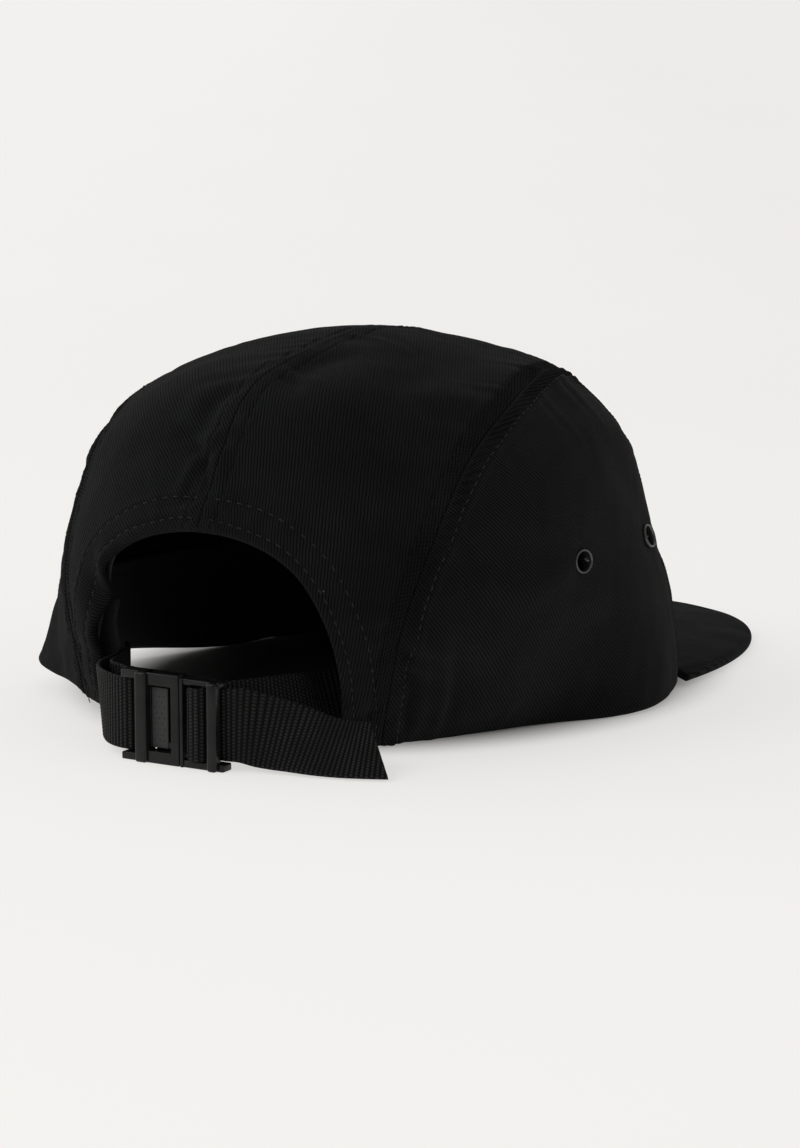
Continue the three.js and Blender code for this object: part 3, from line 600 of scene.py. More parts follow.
def face_out(obj, normal):
    """Turns the faces of an open sheet to the side its form faces."""
    normals = np.empty(len(obj.data.vertices) * 3, np.float32)
    obj.data.vertices.foreach_get("normal", normals)
    if (normals.reshape(-1, 3) * normal).sum() < 0:
        edit(bpy.ops.mesh.flip_normals)


def cut_pattern(points, places, grain):
    """Unwraps a coarse sheet and gives each point its place on the flat cloth in mm, grain up."""
    rows = len(points) // places
    sheet = added_grid("pattern", places, rows)
    fill(sheet, points)
    edit(lambda: bpy.ops.uv.unwrap(method="CONFORMAL", margin=0))
    mesh = sheet.data
    corners = np.empty(len(mesh.loops), np.int32)
    mesh.loops.foreach_get("vertex_index", corners)
    loose = np.empty(len(mesh.loops) * 2, np.float32)
    mesh.uv_layers[0].data.foreach_get("uv", loose)
    uv = np.zeros((len(points), 2))
    uv[corners] = loose.reshape(-1, 2)
    grid, flat = points.reshape(rows, places, 3), uv.reshape(rows, places, 2)
    real = np.linalg.norm(np.diff(grid, axis=1), axis=2).sum()
    scale = real / np.linalg.norm(np.diff(flat, axis=1), axis=2).sum()
    up = flat[-1].mean(0) - flat[0].mean(0)
    turn = math.atan2(up[0], up[1]) + math.radians(grain)
    c, s = math.cos(turn), math.sin(turn)
    across = flat[0, -1] - flat[0, 0]
    if across[0] * up[1] - across[1] * up[0] < 0:
        flat = flat * (-1, 1)
        turn = math.atan2(-up[0], up[1]) + math.radians(grain)
        c, s = math.cos(turn), math.sin(turn)
    bpy.data.objects.remove(sheet)
    return ((flat * scale) @ np.array([[c, s], [-s, c]])).reshape(-1, 2)


def spread(values, s, t, coarse_s, coarse_t):
    """Values on a coarse grid, read at each point of a fine one."""
    rows = np.stack([np.interp(t, coarse_t, column) for column in values.T], axis=1)
    return np.stack([np.interp(s, coarse_s, row) for row in rows])


def set_pattern(obj, uv):
    mesh = obj.data
    layer = mesh.uv_layers[0] if mesh.uv_layers else mesh.uv_layers.new()
    layer.name = "cut"
    corners = np.empty(len(mesh.loops), np.int32)
    mesh.loops.foreach_get("vertex_index", corners)
    layer.data.foreach_set("uv", uv[corners].astype(np.float32).ravel())


def sheet_of(name, face, flat, places, uv):
    obj = added_grid(name, places, len(flat) // places)
    fill(obj, face(flat))
    face_out(obj, facing(dome, flat))
    set_pattern(obj, uv)
    return obj


def panel(name, edges, relief, width, height, grain, both_ends=False):
    """One sewn panel: a fine outer sheet and a coarse lining side, bridged round their edges."""
    s = graded(width, ACROSS_GAPS)
    t = graded(height, UP_GAPS, both_ends)
    few_s, few_t = s[::COARSE], t[::COARSE]
    fine = patch(*edges, s, t)
    coarse = patch(*edges, few_s, few_t)
    uv = cut_pattern(skin(coarse), len(few_s), grain)
    grid = uv.reshape(len(few_t), len(few_s), 2)
    fine_uv = np.stack([spread(grid[..., k], s, t, few_s, few_t) for k in (0, 1)], -1).reshape(-1, 2)
    outer = sheet_of(name + "_cloth", cloth_face(relief), fine, len(s), fine_uv)
    inner = sheet_of(name + "_inside", cloth_face(relief, CLOTH), coarse, len(few_s), uv)
    bpy.context.view_layer.objects.active = inner
    edit(bpy.ops.mesh.flip_normals)
    outer.select_set(True)
    bpy.context.view_layer.objects.active = outer
    bpy.ops.object.join()
    bpy.ops.object.mode_set(mode="EDIT")
    bpy.ops.mesh.select_mode(type="EDGE")
    bpy.ops.mesh.select_all(action="DESELECT")
    bpy.ops.mesh.select_non_manifold(extend=False, use_wire=False, use_boundary=True,
                                     use_multi_face=False, use_non_contiguous=False, use_verts=False)
    bpy.ops.mesh.bridge_edge_loops()
    bpy.ops.object.mode_set(mode="OBJECT")
    return outer


def finish_piece(obj, material, nodes=()):
    """Gives a piece its material and its body, and hides the CAD parts it stands for."""
    obj.data.materials.clear()
    obj.data.materials.append(material)
    obj.data.shade_smooth()
    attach(obj, "root")
    if nodes:
        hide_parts(*nodes)
    return obj


class Shade:
    """A node material, built from short calls."""

    def __init__(self, name):
        self.material = bpy.data.materials.new(name)
        self.material.use_nodes = True
        self.tree = self.material.node_tree
        self.tree.nodes.clear()

    def add(self, kind, **settings):
        made = self.tree.nodes.new("ShaderNode" + kind)
        for key, value in settings.items():
            if key == "inputs":
                for name, given in value.items():
                    self.put(made.inputs[name], given)
            else:
                setattr(made, key, value)
        return made

    def put(self, socket, value):
        if isinstance(value, bpy.types.NodeSocket):
            self.tree.links.new(value, socket)
        else:
            socket.default_value = value

    def math(self, operation, *values):
        made = self.add("Math", operation=operation)
        for socket, value in zip(made.inputs, values):
            self.put(socket, value)
        return made.outputs[0]

    def mapped(self, value, low, high, to_low=0.0, to_high=1.0, kind="LINEAR"):
        made = self.add("MapRange", interpolation_type=kind)
        for socket, given in zip(made.inputs, (value, low, high, to_low, to_high)):
            self.put(socket, given)
        return made.outputs[0]

    def mix(self, amount, first, second):
        made = self.add("Mix", data_type="RGBA")
        self.put(made.inputs["Factor"], amount)
        self.put(made.inputs[6], first)
        self.put(made.inputs[7], second)
        return made.outputs[2]

    def noise(self, where, scale, detail=2.0, roughness=0.5):
        made = self.add("TexNoise", inputs={"Vector": where, "Scale": scale, "Detail": detail,
                                            "Roughness": roughness})
        return made.outputs["Fac"]

    def bump(self, height, strength, distance, normal=None):
        made = self.add("Bump", inputs={"Strength": strength, "Distance": distance, "Height": height})
        if normal:
            self.put(made.inputs["Normal"], normal)
        return made.outputs[0]

    def surface(self, colour, roughness, normal=None, **fixed):
        shader = self.add("BsdfPrincipled")
        self.put(shader.inputs["Base Color"], colour)
        self.put(shader.inputs["Roughness"], roughness)
        if normal:
            self.put(shader.inputs["Normal"], normal)
        for name, value in fixed.items():
            self.put(shader.inputs[name.replace("_", " ")], value)
        end = self.add("OutputMaterial")
        self.tree.links.new(shader.outputs[0], end.inputs["Surface"])
        return self.material


def grey(value, tint=(1, 1, 1)):
    return (value * tint[0], value * tint[1], value * tint[2], 1)


def twill_of(name, dark, light, warp=0.26, weft=0.42, sheen=0.35):
    """Black twill: warp floats over three wefts, one step up from yarn to yarn."""
    cloth = Shade(name)
    place = cloth.add("UVMap", uv_map="cut").outputs[0]
    solid = cloth.add("TexCoord").outputs["Object"]
    wobble = cloth.add("TexNoise", inputs={"Vector": place, "Scale": 0.35, "Detail": 2.0})
    shift = cloth.add("VectorMath", operation="MULTIPLY_ADD",
                      inputs={0: wobble.outputs["Color"], 1: (0.5, 0.5, 0.0), 2: place}).outputs[0]
    split = cloth.add("SeparateXYZ", inputs={0: shift})
    across = cloth.math("DIVIDE", split.outputs[0], warp)
    up = cloth.math("DIVIDE", split.outputs[1], weft)
    yarn = cloth.math("FLOOR", across)
    side = cloth.math("SUBTRACT", cloth.math("MULTIPLY", cloth.math("FRACT", across), 2.0), 1.0)
    round_ = cloth.math("SUBTRACT", 1.0, cloth.math("MULTIPLY", side, side))
    step = cloth.math("FRACT", cloth.math("DIVIDE", cloth.math("ADD", up, yarn), 4.0))
    rising = cloth.math("MINIMUM", cloth.math("DIVIDE", step, 0.8), 1.0)
    arched = cloth.math("SINE", cloth.math("MULTIPLY", rising, math.pi))
    arched = cloth.math("POWER", cloth.math("MAXIMUM", arched, 0.0), 0.45)
    weave = cloth.math("MULTIPLY", cloth.math("ADD", cloth.math("MULTIPLY", round_, 0.35), 0.65), arched)
    fuzz = cloth.noise(place, 6.0, 3.0)
    height = cloth.math("ADD", weave, cloth.math("MULTIPLY", fuzz, 0.25))
    normal = cloth.bump(height, 1.0, 0.0003)
    worn = cloth.noise(solid, 34.0, 4.0, 0.6)
    # Painted shade and highlight: the raised floats are painted lighter and the hollows between yarns
    # darker, scaled by a random faded tone.
    painted_shade_and_wear = cloth.math("MULTIPLY", weave, cloth.mapped(worn, 0.3, 0.7, 0.45, 1.0))
    colour = cloth.mix(painted_shade_and_wear, dark, light)
    specks = cloth.add("TexVoronoi", feature="F1",
                       inputs={"Vector": solid, "Scale": 190.0, "Randomness": 1.0})
    lint = cloth.mapped(specks.outputs["Distance"], 0.035, 0.05, 1.0, 0.0)
    chance = cloth.add("SeparateXYZ", inputs={0: specks.outputs["Color"]}).outputs[0]
    rare = cloth.mapped(chance, 0.93, 0.95)
    colour = cloth.mix(cloth.math("MULTIPLY", cloth.math("MULTIPLY", lint, rare), 0.5), colour, grey(0.2))
    rough = cloth.mapped(worn, 0.2, 0.8, 0.78, 0.92)
    return cloth.surface(colour, rough, normal, Sheen_Weight=sheen, Sheen_Roughness=0.45,
                         Sheen_Tint=(0.74, 0.84, 0.82, 1), Specular_IOR_Level=0.055)


def plain_of(name, colour, roughness, **fixed):
    made = Shade(name)
    solid = made.add("TexCoord").outputs["Object"]
    grain = made.noise(solid, 900.0, 3.0)
    wear = made.noise(solid, 60.0, 3.0)
    shade = made.mix(made.mapped(wear, 0.3, 0.7), colour, tuple(1.35 * c for c in colour[:3]) + (1,))
    rough = made.mapped(grain, 0.3, 0.7, roughness - 0.06, roughness + 0.06)
    return made.surface(shade, rough, made.bump(grain, 0.25, 0.00006), **fixed)


def webbing_of(name, dark, light):
    """Rows of woven beads, one column to each weft, with painted highlights on their crowns and painted
    shade between them.
    """
    web = Shade(name)
    place = web.add("UVMap", uv_map="cut").outputs[0]
    solid = web.add("TexCoord").outputs["Object"]
    split = web.add("SeparateXYZ", inputs={0: place})

    def woven(steps):
        """How high a yarn stands, from its middle at each whole step."""
        wave = web.math("ABSOLUTE", web.math("COSINE", web.math("MULTIPLY", steps, math.pi)))
        return web.math("POWER", wave, 0.8)

    across = web.math("DIVIDE", split.outputs[0], RIB_PITCH)
    column = web.math("FLOOR", web.math("ADD", across, 0.5))
    rib = woven(across)
    step = web.math("ADD", web.math("DIVIDE", split.outputs[1], BEAD_PITCH),
                    web.math("MULTIPLY", column, 0.5))
    bead = woven(step)
    height = web.math("MULTIPLY", rib, web.math("ADD", web.math("MULTIPLY", bead, 0.6), 0.4))
    worn = web.noise(solid, 120.0, 3.0)
    fine = web.noise(solid, 1500.0, 2.0)
    # Painted highlight and shade: bead crowns are painted lighter and the gaps darker, scaled by a random
    # worn tone.
    painted_shade_and_wear = web.math("MULTIPLY", web.math("POWER", height, 2.2), web.mapped(worn, 0.3, 0.7, 0.55, 1.0))
    normal = web.bump(web.math("ADD", height, web.math("MULTIPLY", fine, 0.3)), 0.8, 0.0002)
    return web.surface(web.mix(painted_shade_and_wear, dark, light), web.mapped(worn, 0.3, 0.7, 0.62, 0.78), normal,
                       Sheen_Weight=0.01, Specular_IOR_Level=0.12)


# Twill: its light colour is the painted highlight on raised floats, its dark colour the painted shade
# between them.
TWILL = twill_of("black_twill", grey(0.0002), grey(0.0185, (0.93, 1.04, 0.98)), sheen=0.02)
INSIDE = plain_of("inner_tape", grey(0.0024), 0.9, Sheen_Weight=0.03, Sheen_Roughness=0.5)
THREAD = plain_of("grey_black_thread", grey(0.017, (0.98, 1, 1.0)), 0.7, Specular_IOR_Level=0.3)
DARK_THREAD = plain_of("black_thread", grey(0.007), 0.8, Specular_IOR_Level=0.1)
# Webbing: its light colour is the painted highlight on bead crowns, its dark colour the painted shade in the
# gaps.
WEBBING = webbing_of("webbing", grey(0.0002), grey(0.034))


def plastic_of(name, frame_, plate, region):
    """Black moulded plastic; the press plate inside the region is duller and lighter."""
    made = Shade(name)
    solid = made.add("TexCoord").outputs["Object"]
    split = made.add("SeparateXYZ", inputs={0: solid})
    inside = 1.0
    for output, (low, high) in zip(split.outputs, region):
        inside = made.math("MULTIPLY", inside, made.math("GREATER_THAN", output, low))
        inside = made.math("MULTIPLY", inside, made.math("LESS_THAN", output, high))
    grain = made.noise(solid, 900.0, 3.0)
    wear = made.noise(solid, 70.0, 3.0)
    rubbed = made.math("MULTIPLY", made.mapped(wear, 0.35, 0.7), 0.25)
    colour = made.mix(rubbed, made.mix(inside, frame_, plate), plate)
    rough = made.math("ADD", made.mapped(inside, 0.0, 1.0, 0.22, 0.5),
                      made.mapped(grain, 0.3, 0.7, -0.04, 0.06))
    return made.surface(colour, rough, made.bump(grain, 0.3, 0.00006), Specular_IOR_Level=0.22)


PLASTIC = plastic_of("buckle_plastic", grey(0.003), grey(0.042), (
    ((PLATE_X - MIDDLE[0]) * MM - 0.0002, (RAISED_X - MIDDLE[0]) * MM),
    ((PLATE_FACE - MIDDLE[1]) * MM - 0.0003, (PLATE_FACE - MIDDLE[1]) * MM + 0.0001),
    ((PLATE_FOOT + 0.1) * MM, (PLATE_HEAD - 0.1) * MM),
))
METAL = plain_of("black_metal", grey(0.012), 0.2, Specular_IOR_Level=0.9)


# How far the stitch rows run from their seams.
ARCH_ROWS = (3.2, 9.4)
CENTRE_ROW = 4.6
SIDE_ROW = 4.4
BACK_ROW = 4.8
FRONT_ROW = 5.0
HEM = (RIM_RUN, 1.0, 1.3, 0.0, 3, (), 0.0, 0.25, 60)


# How far each panel's cloth is turned, in degrees.
BACK_GRAIN = {RIGHT: 24, LEFT: 82}
SIDE_GRAIN = -34
# A side panel ends a little before the point where its two seams meet.
SIDE_TIP = 0.994

panel_sheets = {}
for hand, name in ((RIGHT, "right"), (LEFT, "left")):
    arch, side, front = ARCH[hand], SIDES[hand], FRONTS[hand]
    inner = joined(arch.flat_at, CENTRE.flat_at, 0.46)
    back_relief = relief_of(
        (arch, 1.3, 1.6, 0.35, 10, ARCH_ROWS, 0.06, 0.3, 20 + hand),
        (CENTRE, 0.5, 0.9, 0.2, 5.0, (CENTRE_ROW,), 0.06, 0.5, 30 + hand),
        (side, 0.7, 1.1, 0.15, 5, (BACK_ROW,), 0.26, 0.5, 40 + hand),
        (TOP, 0.7, 1.1, 0.1, 5, (FRONT_ROW,), 0.08, 0.2, 50 + hand),
        HEM,
    )
    foot = rim_between(arch.flat[0], side.flat[0])
    edges = (inner, side.flat_at, foot, top_seam(0.0, hand * CORNER[0]))
    sheet = panel("back_panel_" + name, edges, back_relief, 58, 175, BACK_GRAIN[hand])
    panel_sheets["back_panel_" + name] = (sheet, back_relief)
    side_relief = relief_of(
        (side, 0.8, 1.0, 0.6, 4.9, (SIDE_ROW,), 0.26, 0.5, 70 + hand),
        (front, 0.8, 1.0, 0.5, 4.9, (SIDE_ROW,), 0.24, 0.4, 80 + hand),
        HEM,
    )
    tip = np.array([SIDE_TIP])
    edges = (lambda t, seam=side: seam.flat_at(t * SIDE_TIP),
             lambda t, seam=front: seam.flat_at(t * SIDE_TIP),
             rim_between(side.flat[0], front.flat[0]),
             straight(side.flat_at(tip)[0], front.flat_at(tip)[0]))
    sheet = panel("side_panel_" + name, edges, side_relief, 130, 180, SIDE_GRAIN)
    panel_sheets["side_panel_" + name] = (sheet, side_relief)

front_relief = relief_of(
    (FRONTS[RIGHT], 0.7, 1.1, 0.1, 5, (FRONT_ROW,), 0.08, 0.2, 91),
    (FRONTS[LEFT], 0.7, 1.1, 0.1, 5, (FRONT_ROW,), 0.08, 0.2, 92),
    (TOP, 0.8, 1.0, 0.45, 5.4, (FRONT_ROW,), 0.1, 0.2, 93),
    HEM,
)
edges = (FRONTS[RIGHT].flat_at, FRONTS[LEFT].flat_at,
         rim_between(FRONTS[RIGHT].flat[0], FRONTS[LEFT].flat[0]), top_seam(-CORNER[0], CORNER[0]))
panel_sheets["front_panel"] = (panel("front_panel", edges, front_relief, 150, 140, 0, True), front_relief)

for name, (obj, relief) in panel_sheets.items():
    finish_piece(obj, TWILL, (name,))


def thick_sheet(name, front, back, places, uv):
    """A closed sheet between two grids of points that share their places."""
    obj = added_grid(name, places, len(front) // places)
    fill(obj, front)
    set_pattern(obj, uv)
    normals = np.empty(len(front) * 3, np.float32)
    obj.data.vertices.foreach_get("normal", normals)
    if (normals.reshape(-1, 3) * (front - back)).sum() < 0:
        edit(bpy.ops.mesh.flip_normals)
    apply(obj, "SOLIDIFY", thickness=0.001, offset=-1, use_rim=True)
    fill(obj, np.vstack([front, back]))
    return obj


def rounded(away, half):
    """Half the thickness of a layer near its rounded edge."""
    x = np.clip(1 - away / half, 0, 1)
    return half * np.sqrt(np.maximum(1 - x * x, 0.003))


EDGE_PLACES = (0, 0.05, 0.18, 0.4, 0.8)


def across_places(width, step, scale=1.0):
    """Places across a strip: close together at both edges, `step` mm between."""
    edge = np.array(EDGE_PLACES) * scale
    middle = np.linspace(edge[-1] + step, width - edge[-1] - step, max(int(width / step) - 2, 2))
    return np.concatenate([edge, middle, width - edge[::-1]])


ARCH_FOOT = 0.985
TAPE_WIDTH = 10
BAND_HEIGHT_SHARE = 0.215
TAPE_INSET = 1.95
BAND_INSET = 2.6
BAND_CURL, BAND_CURL_LONG = 4.6, 11
BAND_HEM = 31.5
# Millimetres of cloth from the top of the crown to its rim.
CROWN_SWEEP = 165


def arch_line(inset, count):
    """Places beside the arch's edge, from its right foot over the top to its left foot."""
    rows = []
    for hand, order in ((RIGHT, 1), (LEFT, -1)):
        run = ARCH[hand]
        at = np.linspace(0, run.length[-1], count)
        flat = run.beside(at, np.full(count, max(inset, 0.01)), (hand * 0.5, 0.3))
        rows.append(flat[::order])
    line = np.vstack([rows[0], rows[1][1:]])
    out = np.hypot(*line.T)
    return line * np.minimum(1, ARCH_FOOT / out)[:, None]


def arch_tape():
    away = across_places(TAPE_WIDTH, 1.0, 0.5)
    lines = np.stack([arch_line(0.5 + d, 110) for d in away], axis=1)
    places, rows = len(away), len(lines)
    flat = lines.reshape(-1, 2)
    normal, face = facing(dome, flat), skin(flat)
    middle = face - normal * TAPE_INSET
    half = np.tile(rounded(np.minimum(away, TAPE_WIDTH - away), 0.4), rows)[:, None]
    along = lengths(face.reshape(rows, places, 3)[:, 0])
    uv = np.column_stack([np.tile(away, rows), np.repeat(along, places)])
    return thick_sheet("arch_tape", middle + normal * half, middle - normal * half, places, uv)


def inner_band():
    """The sweatband. Its left end comes to the arch's leg and curls inwards."""
    start = math.atan2(*(arch_line(1.5, 90)[-1] * (1, -1)))
    end = math.atan2(*(arch_line(TAPE_WIDTH + 2, 90)[0] * (1, -1)))
    bearings = np.linspace(start, end, 440)
    tall = BAND_HEIGHT_SHARE * CROWN_SWEEP
    up = across_places(tall, 1.2, 0.5)
    out = 1 - 0.004 - up / CROWN_SWEEP
    flat = np.stack([np.outer(np.sin(bearings), out), -np.outer(np.cos(bearings), out)], -1).reshape(-1, 2)
    normal = facing(dome, flat)
    face = skin(flat) + normal * creased(flat)[:, None]
    wave = ripple(61, 34)(np.repeat(bearings * 85, len(up))) * np.tile(up / tall, len(bearings)) * 0.5
    from_end = np.repeat(np.abs(bearings - start) * 86, len(up))
    curl = BAND_CURL * (1 - smooth(from_end, 0, BAND_CURL_LONG)) + 1.1 * (1 - smooth(from_end, 9, 15))
    middle = face - normal * (BAND_INSET + np.abs(wave) + curl)[:, None]
    half = np.tile(rounded(np.minimum(up, tall - up), 0.5), len(bearings))[:, None]
    half = half - 0.15 * np.exp(-((np.tile(up, len(bearings)) - BAND_HEM) / 0.7) ** 2)[:, None]
    uv = np.column_stack([np.repeat(bearings * 87, len(up)), np.tile(up, len(bearings))])
    return thick_sheet("inner_band", middle + normal * half, middle - normal * half, len(up), uv)


finish_piece(arch_tape(), INSIDE, ("arch_binding",))
finish_piece(inner_band(), INSIDE, ("sweatband",))

PEAK_CLEAR = -0.6


def peak_piece():
    share = np.linspace(-1, 1, 241)
    bearing = np.radians(PEAK_SPREAD * share)
    foot = np.column_stack([np.sin(bearing), -np.cos(bearing)])
    root = skin(foot)
    outwards = facing(skin, foot) * (1, 1, 0)
    root = root + unit(outwards) * PEAK_CLEAR
    angle = np.radians(90 * share)
    edge = np.column_stack([
        np.sign(share) * np.abs(np.sin(angle)) ** (2 / PEAK_SIDE_POWER) * PEAK_HALF_WIDTH,
        PEAK_CENTRE_Y - np.abs(np.cos(angle)) ** (2 / PEAK_FRONT_POWER) * PEAK_LENGTH,
        0.4 * np.clip(root[:, 2], 0, 4) * share**2,
    ])
    long = np.linalg.norm(edge - root, axis=1).max()
    t = across_places(long, 0.75, 1.5) / long
    flat = root[:, None] * (1 - t)[None, :, None] + edge[:, None] * t[None, :, None]
    crown = PEAK_RISE * np.sin(math.pi * t)[None] * (1 - share**2)[:, None]
    flat[..., 2] += crown + PEAK_THICK / 2
    points = flat.reshape(-1, 3)
    real = np.linalg.norm(edge - root, axis=1)[:, None] * (1 - t)[None]
    from_edge = real.ravel()
    from_root = (np.linalg.norm(edge - root, axis=1)[:, None] * t[None]).ravel()
    half = rounded(np.minimum(from_edge, from_root), PEAK_THICK / 2)
    soft = wander(71, 26)(points) * 0.16 + wander(72, 9)(points) * 0.05
    soft += ripple(73, 7)(points[:, 0]) * 0.22 * np.exp(-from_root / 6) * smooth(from_root, 0.5, 2.5)
    soft -= 0.3 * smooth(from_edge, 4.2, 2.4) * smooth(from_edge, 0.2, 1.4)
    soft *= smooth(from_edge, 0, 1.5)
    top, bottom = points.copy(), points.copy()
    top[:, 2] += half + soft
    bottom[:, 2] -= half
    uv = np.column_stack([points[:, 0], points[:, 1]])
    return thick_sheet("peak_cloth", top, bottom, len(t), uv @ np.array([[0.8, 0.6], [-0.6, 0.8]]))


finish_piece(peak_piece(), TWILL, ("peak",))


def beads(far, high):
    """How far the woven beads stand up, 0 to 1: columns across the webbing, each set half a step off."""
    column = np.floor(far / RIB_PITCH + 0.5)
    rib = np.abs(np.cos(math.pi * far / RIB_PITCH)) ** 0.6
    bead = np.abs(np.cos(math.pi * (high / BEAD_PITCH + 0.5 * column))) ** 0.6
    return rib * (0.45 + 0.55 * bead)


def strap_piece(name, rows, slant=0):
    """Webbing swept along its rows, ribbed across its width."""
    table = np.array(rows, float)
    line = curve_through(table[:, :3])
    lean = natural_spline(range(len(rows)), table[:, 3])(np.linspace(0, len(rows) - 1, len(line)))
    length = lengths(line)
    stations = int(length[-1] / RIB_PITCH * RIB_STEPS)
    along = np.linspace(0, length[-1], stations)
    foot = np.column_stack([np.interp(along, length, v) for v in line.T])
    tilt = np.radians(np.interp(along, length, lean))
    tangent = unit(np.gradient(foot, axis=0) * (1, 1, 0))
    outwards = np.column_stack([tangent[:, 1], -tangent[:, 0], np.zeros(stations)])
    rise = np.zeros((stations, 3))
    rise[:, 2] = np.cos(tilt)
    rise -= outwards * np.sin(tilt)[:, None]
    face = outwards * np.cos(tilt)[:, None]
    face[:, 2] = np.sin(tilt)
    up = across_places(WEB_WIDTH, BEAD_PITCH / 4)
    places = len(up)
    points = (foot[:, None] + rise[:, None] * up[None, :, None]).reshape(-1, 3)
    normal = np.repeat(face, places, axis=0)
    high, far = np.tile(up, stations), np.repeat(along, places)
    inset = np.minimum(high, WEB_WIDTH - high)
    end = np.minimum(far, length[-1] - far)
    half = np.minimum(rounded(inset, WEB_THICK / 2), rounded(end + 0.15, WEB_THICK / 2))
    rib = (beads(far, high) - 1) * 0.36 * smooth(end, 1.2, 2.2) * smooth(inset, 0.1, 0.6)
    half = (half + rib * (half > 0.3))[:, None]
    uv = np.column_stack([far, high])
    strap = thick_sheet(name, points + normal * half, points - normal * half, places, uv)
    if slant:
        cut_end(strap, foot[-1], rise[-1], tangent[-1], slant)
    return strap


def placed(x, y, z, origin):
    """The matrix that puts a shape's own axes and origin there."""
    return Matrix(np.vstack([np.column_stack([x, y, z, origin]), (0, 0, 0, 1)]).tolist())


def cut_end(obj, corner, up, along, slant):
    """Cuts the end slantwise, its top edge shorter by the slant, and closes it."""
    cut = unit(up * WEB_WIDTH - along * slant)
    away = unit(along - cut * (along * cut).sum())
    waste = added(bpy.ops.mesh.primitive_cube_add, size=2 * WEB_WIDTH * MM)
    middle = corner + cut * WEB_WIDTH / 2 + away * (WEB_WIDTH - TAIL_SPARE)
    waste.data.transform(placed(away, cut, np.cross(away, cut), (middle - MIDDLE) * MM))
    combine(obj, [waste], "DIFFERENCE")


finish_piece(strap_piece("webbing_left", LEFT_STRAP), WEBBING, ("strap_left",))
finish_piece(strap_piece("webbing_right", RIGHT_STRAP, TAIL_SLANT), WEBBING, ("strap_right",))


def block(name, x0, x1, y0, y1, z0, z1, round_=0.3, segments=3):
    """One moulded bar or wall of the buckle, with its edges rounded."""
    middle = (np.array([(x0 + x1) / 2, (y0 + y1) / 2, (z0 + z1) / 2]) - MIDDLE) * MM
    size = ((x1 - x0) * MM, (y1 - y0) * MM, (z1 - z0) * MM)
    obj = added(bpy.ops.mesh.primitive_cube_add, name, size=1, location=middle, scale=size)
    bpy.ops.object.transform_apply(location=True, rotation=True, scale=True)
    if round_:
        apply(obj, "BEVEL", width=round_ * MM, segments=segments, limit_method="NONE")
    return obj


def moulded(name, rows, cuts=()):
    pieces = [block(name if not i else name + "_part", *row) for i, row in enumerate(rows)]
    base = combine(pieces[0], pieces[1:], "UNION")
    combine(base, [block(name + "_cut", *row) for row in cuts], "DIFFERENCE")
    return base


# Bars and walls: x, y and z from and to, and how round their edges are.
SOCKET = [
    (SPLIT_X, RAISED_X + 3.8, BRIDGE_FACE + GAP, BUCKLE_FACE, 0, BUCKLE_HEIGHT, 0.45),
    (RAISED_X + 0.1, RAISED_X + 3.8, BUCKLE_PROUD - 4.6, BUCKLE_PROUD, 0, BUCKLE_HEIGHT, 0.75),
    (RAISED_X - 1, SOCKET_END, BUCKLE_BACK, BUCKLE_FACE - 0.5, 0, RAIL, 0.4),
    (RAISED_X - 1, SOCKET_END, BUCKLE_BACK, BUCKLE_FACE - 0.5, RAIL_HEAD, BUCKLE_HEIGHT, 0.4),
    (SPLIT_X, RAISED_X + 1, BUCKLE_BACK, 101, 0, RAIL, 0.3),
    (SPLIT_X, RAISED_X + 1, BUCKLE_BACK, 101, RAIL_HEAD, BUCKLE_HEIGHT, 0.3),
    (SOCKET_END - LOOP_BAR, SOCKET_END, LOOP_BAR_BACK, LOOP_BAR_FRONT, 0, BUCKLE_HEIGHT, 0.3),
]
SOCKET_CUTS = [
    (WINDOW_X, RAISED_X, 97, 106, 3.4, 21.6, 0.25),
    (RAISED_X + 3.8, SOCKET_END - LOOP_BAR - 0.2, 97, 106, RAIL, RAIL_HEAD, 0),
]
TONGUE = [
    (PLATE_X, RAISED_X - GAP, PLATE_BACK, PLATE_FACE, PLATE_FOOT, PLATE_HEAD, 0.3),
    (PLATE_X, RAISED_X - GAP, PLATE_BACK, BRIDGE_FACE, RAIL + GAP, RAIL_HEAD - GAP, 0.2),
    (TONGUE_X - 1, PLATE_X + 1, PLATE_BACK, BRIDGE_FACE, 5, 19.6, 0.2),
    (TONGUE_X - 1, TONGUE_X, PLATE_BACK, BUCKLE_FACE, 0, TONGUE_HEIGHT, 0.25),
    (TONGUE_END, TONGUE_X, BUCKLE_BACK, BUCKLE_FACE - 0.4, 0, RAIL, 0.4),
    (TONGUE_END + 1, TONGUE_X, BUCKLE_BACK, BUCKLE_FACE - 0.4, RAIL_HEAD, TONGUE_HEIGHT, 0.4),
    (ADJUSTER_X - ADJUSTER_BAR / 2, ADJUSTER_X + ADJUSTER_BAR / 2, ADJUSTER_BACK, ADJUSTER_FRONT, 0,
     TONGUE_HEIGHT, 0.5),
    (GRIP_X - GRIP_BAR / 2, GRIP_X + GRIP_BAR / 2, GRIP_BACK, GRIP_FACE, 0, TONGUE_HEIGHT, 0.9),
]
DIMPLE_ROWS, DIMPLE_PITCH, DIMPLE_GAP = 9, 1.5, 1.62
DIMPLE_X, DIMPLE_Z, DIMPLE_RADIUS = 1.95, 12.4, 0.42


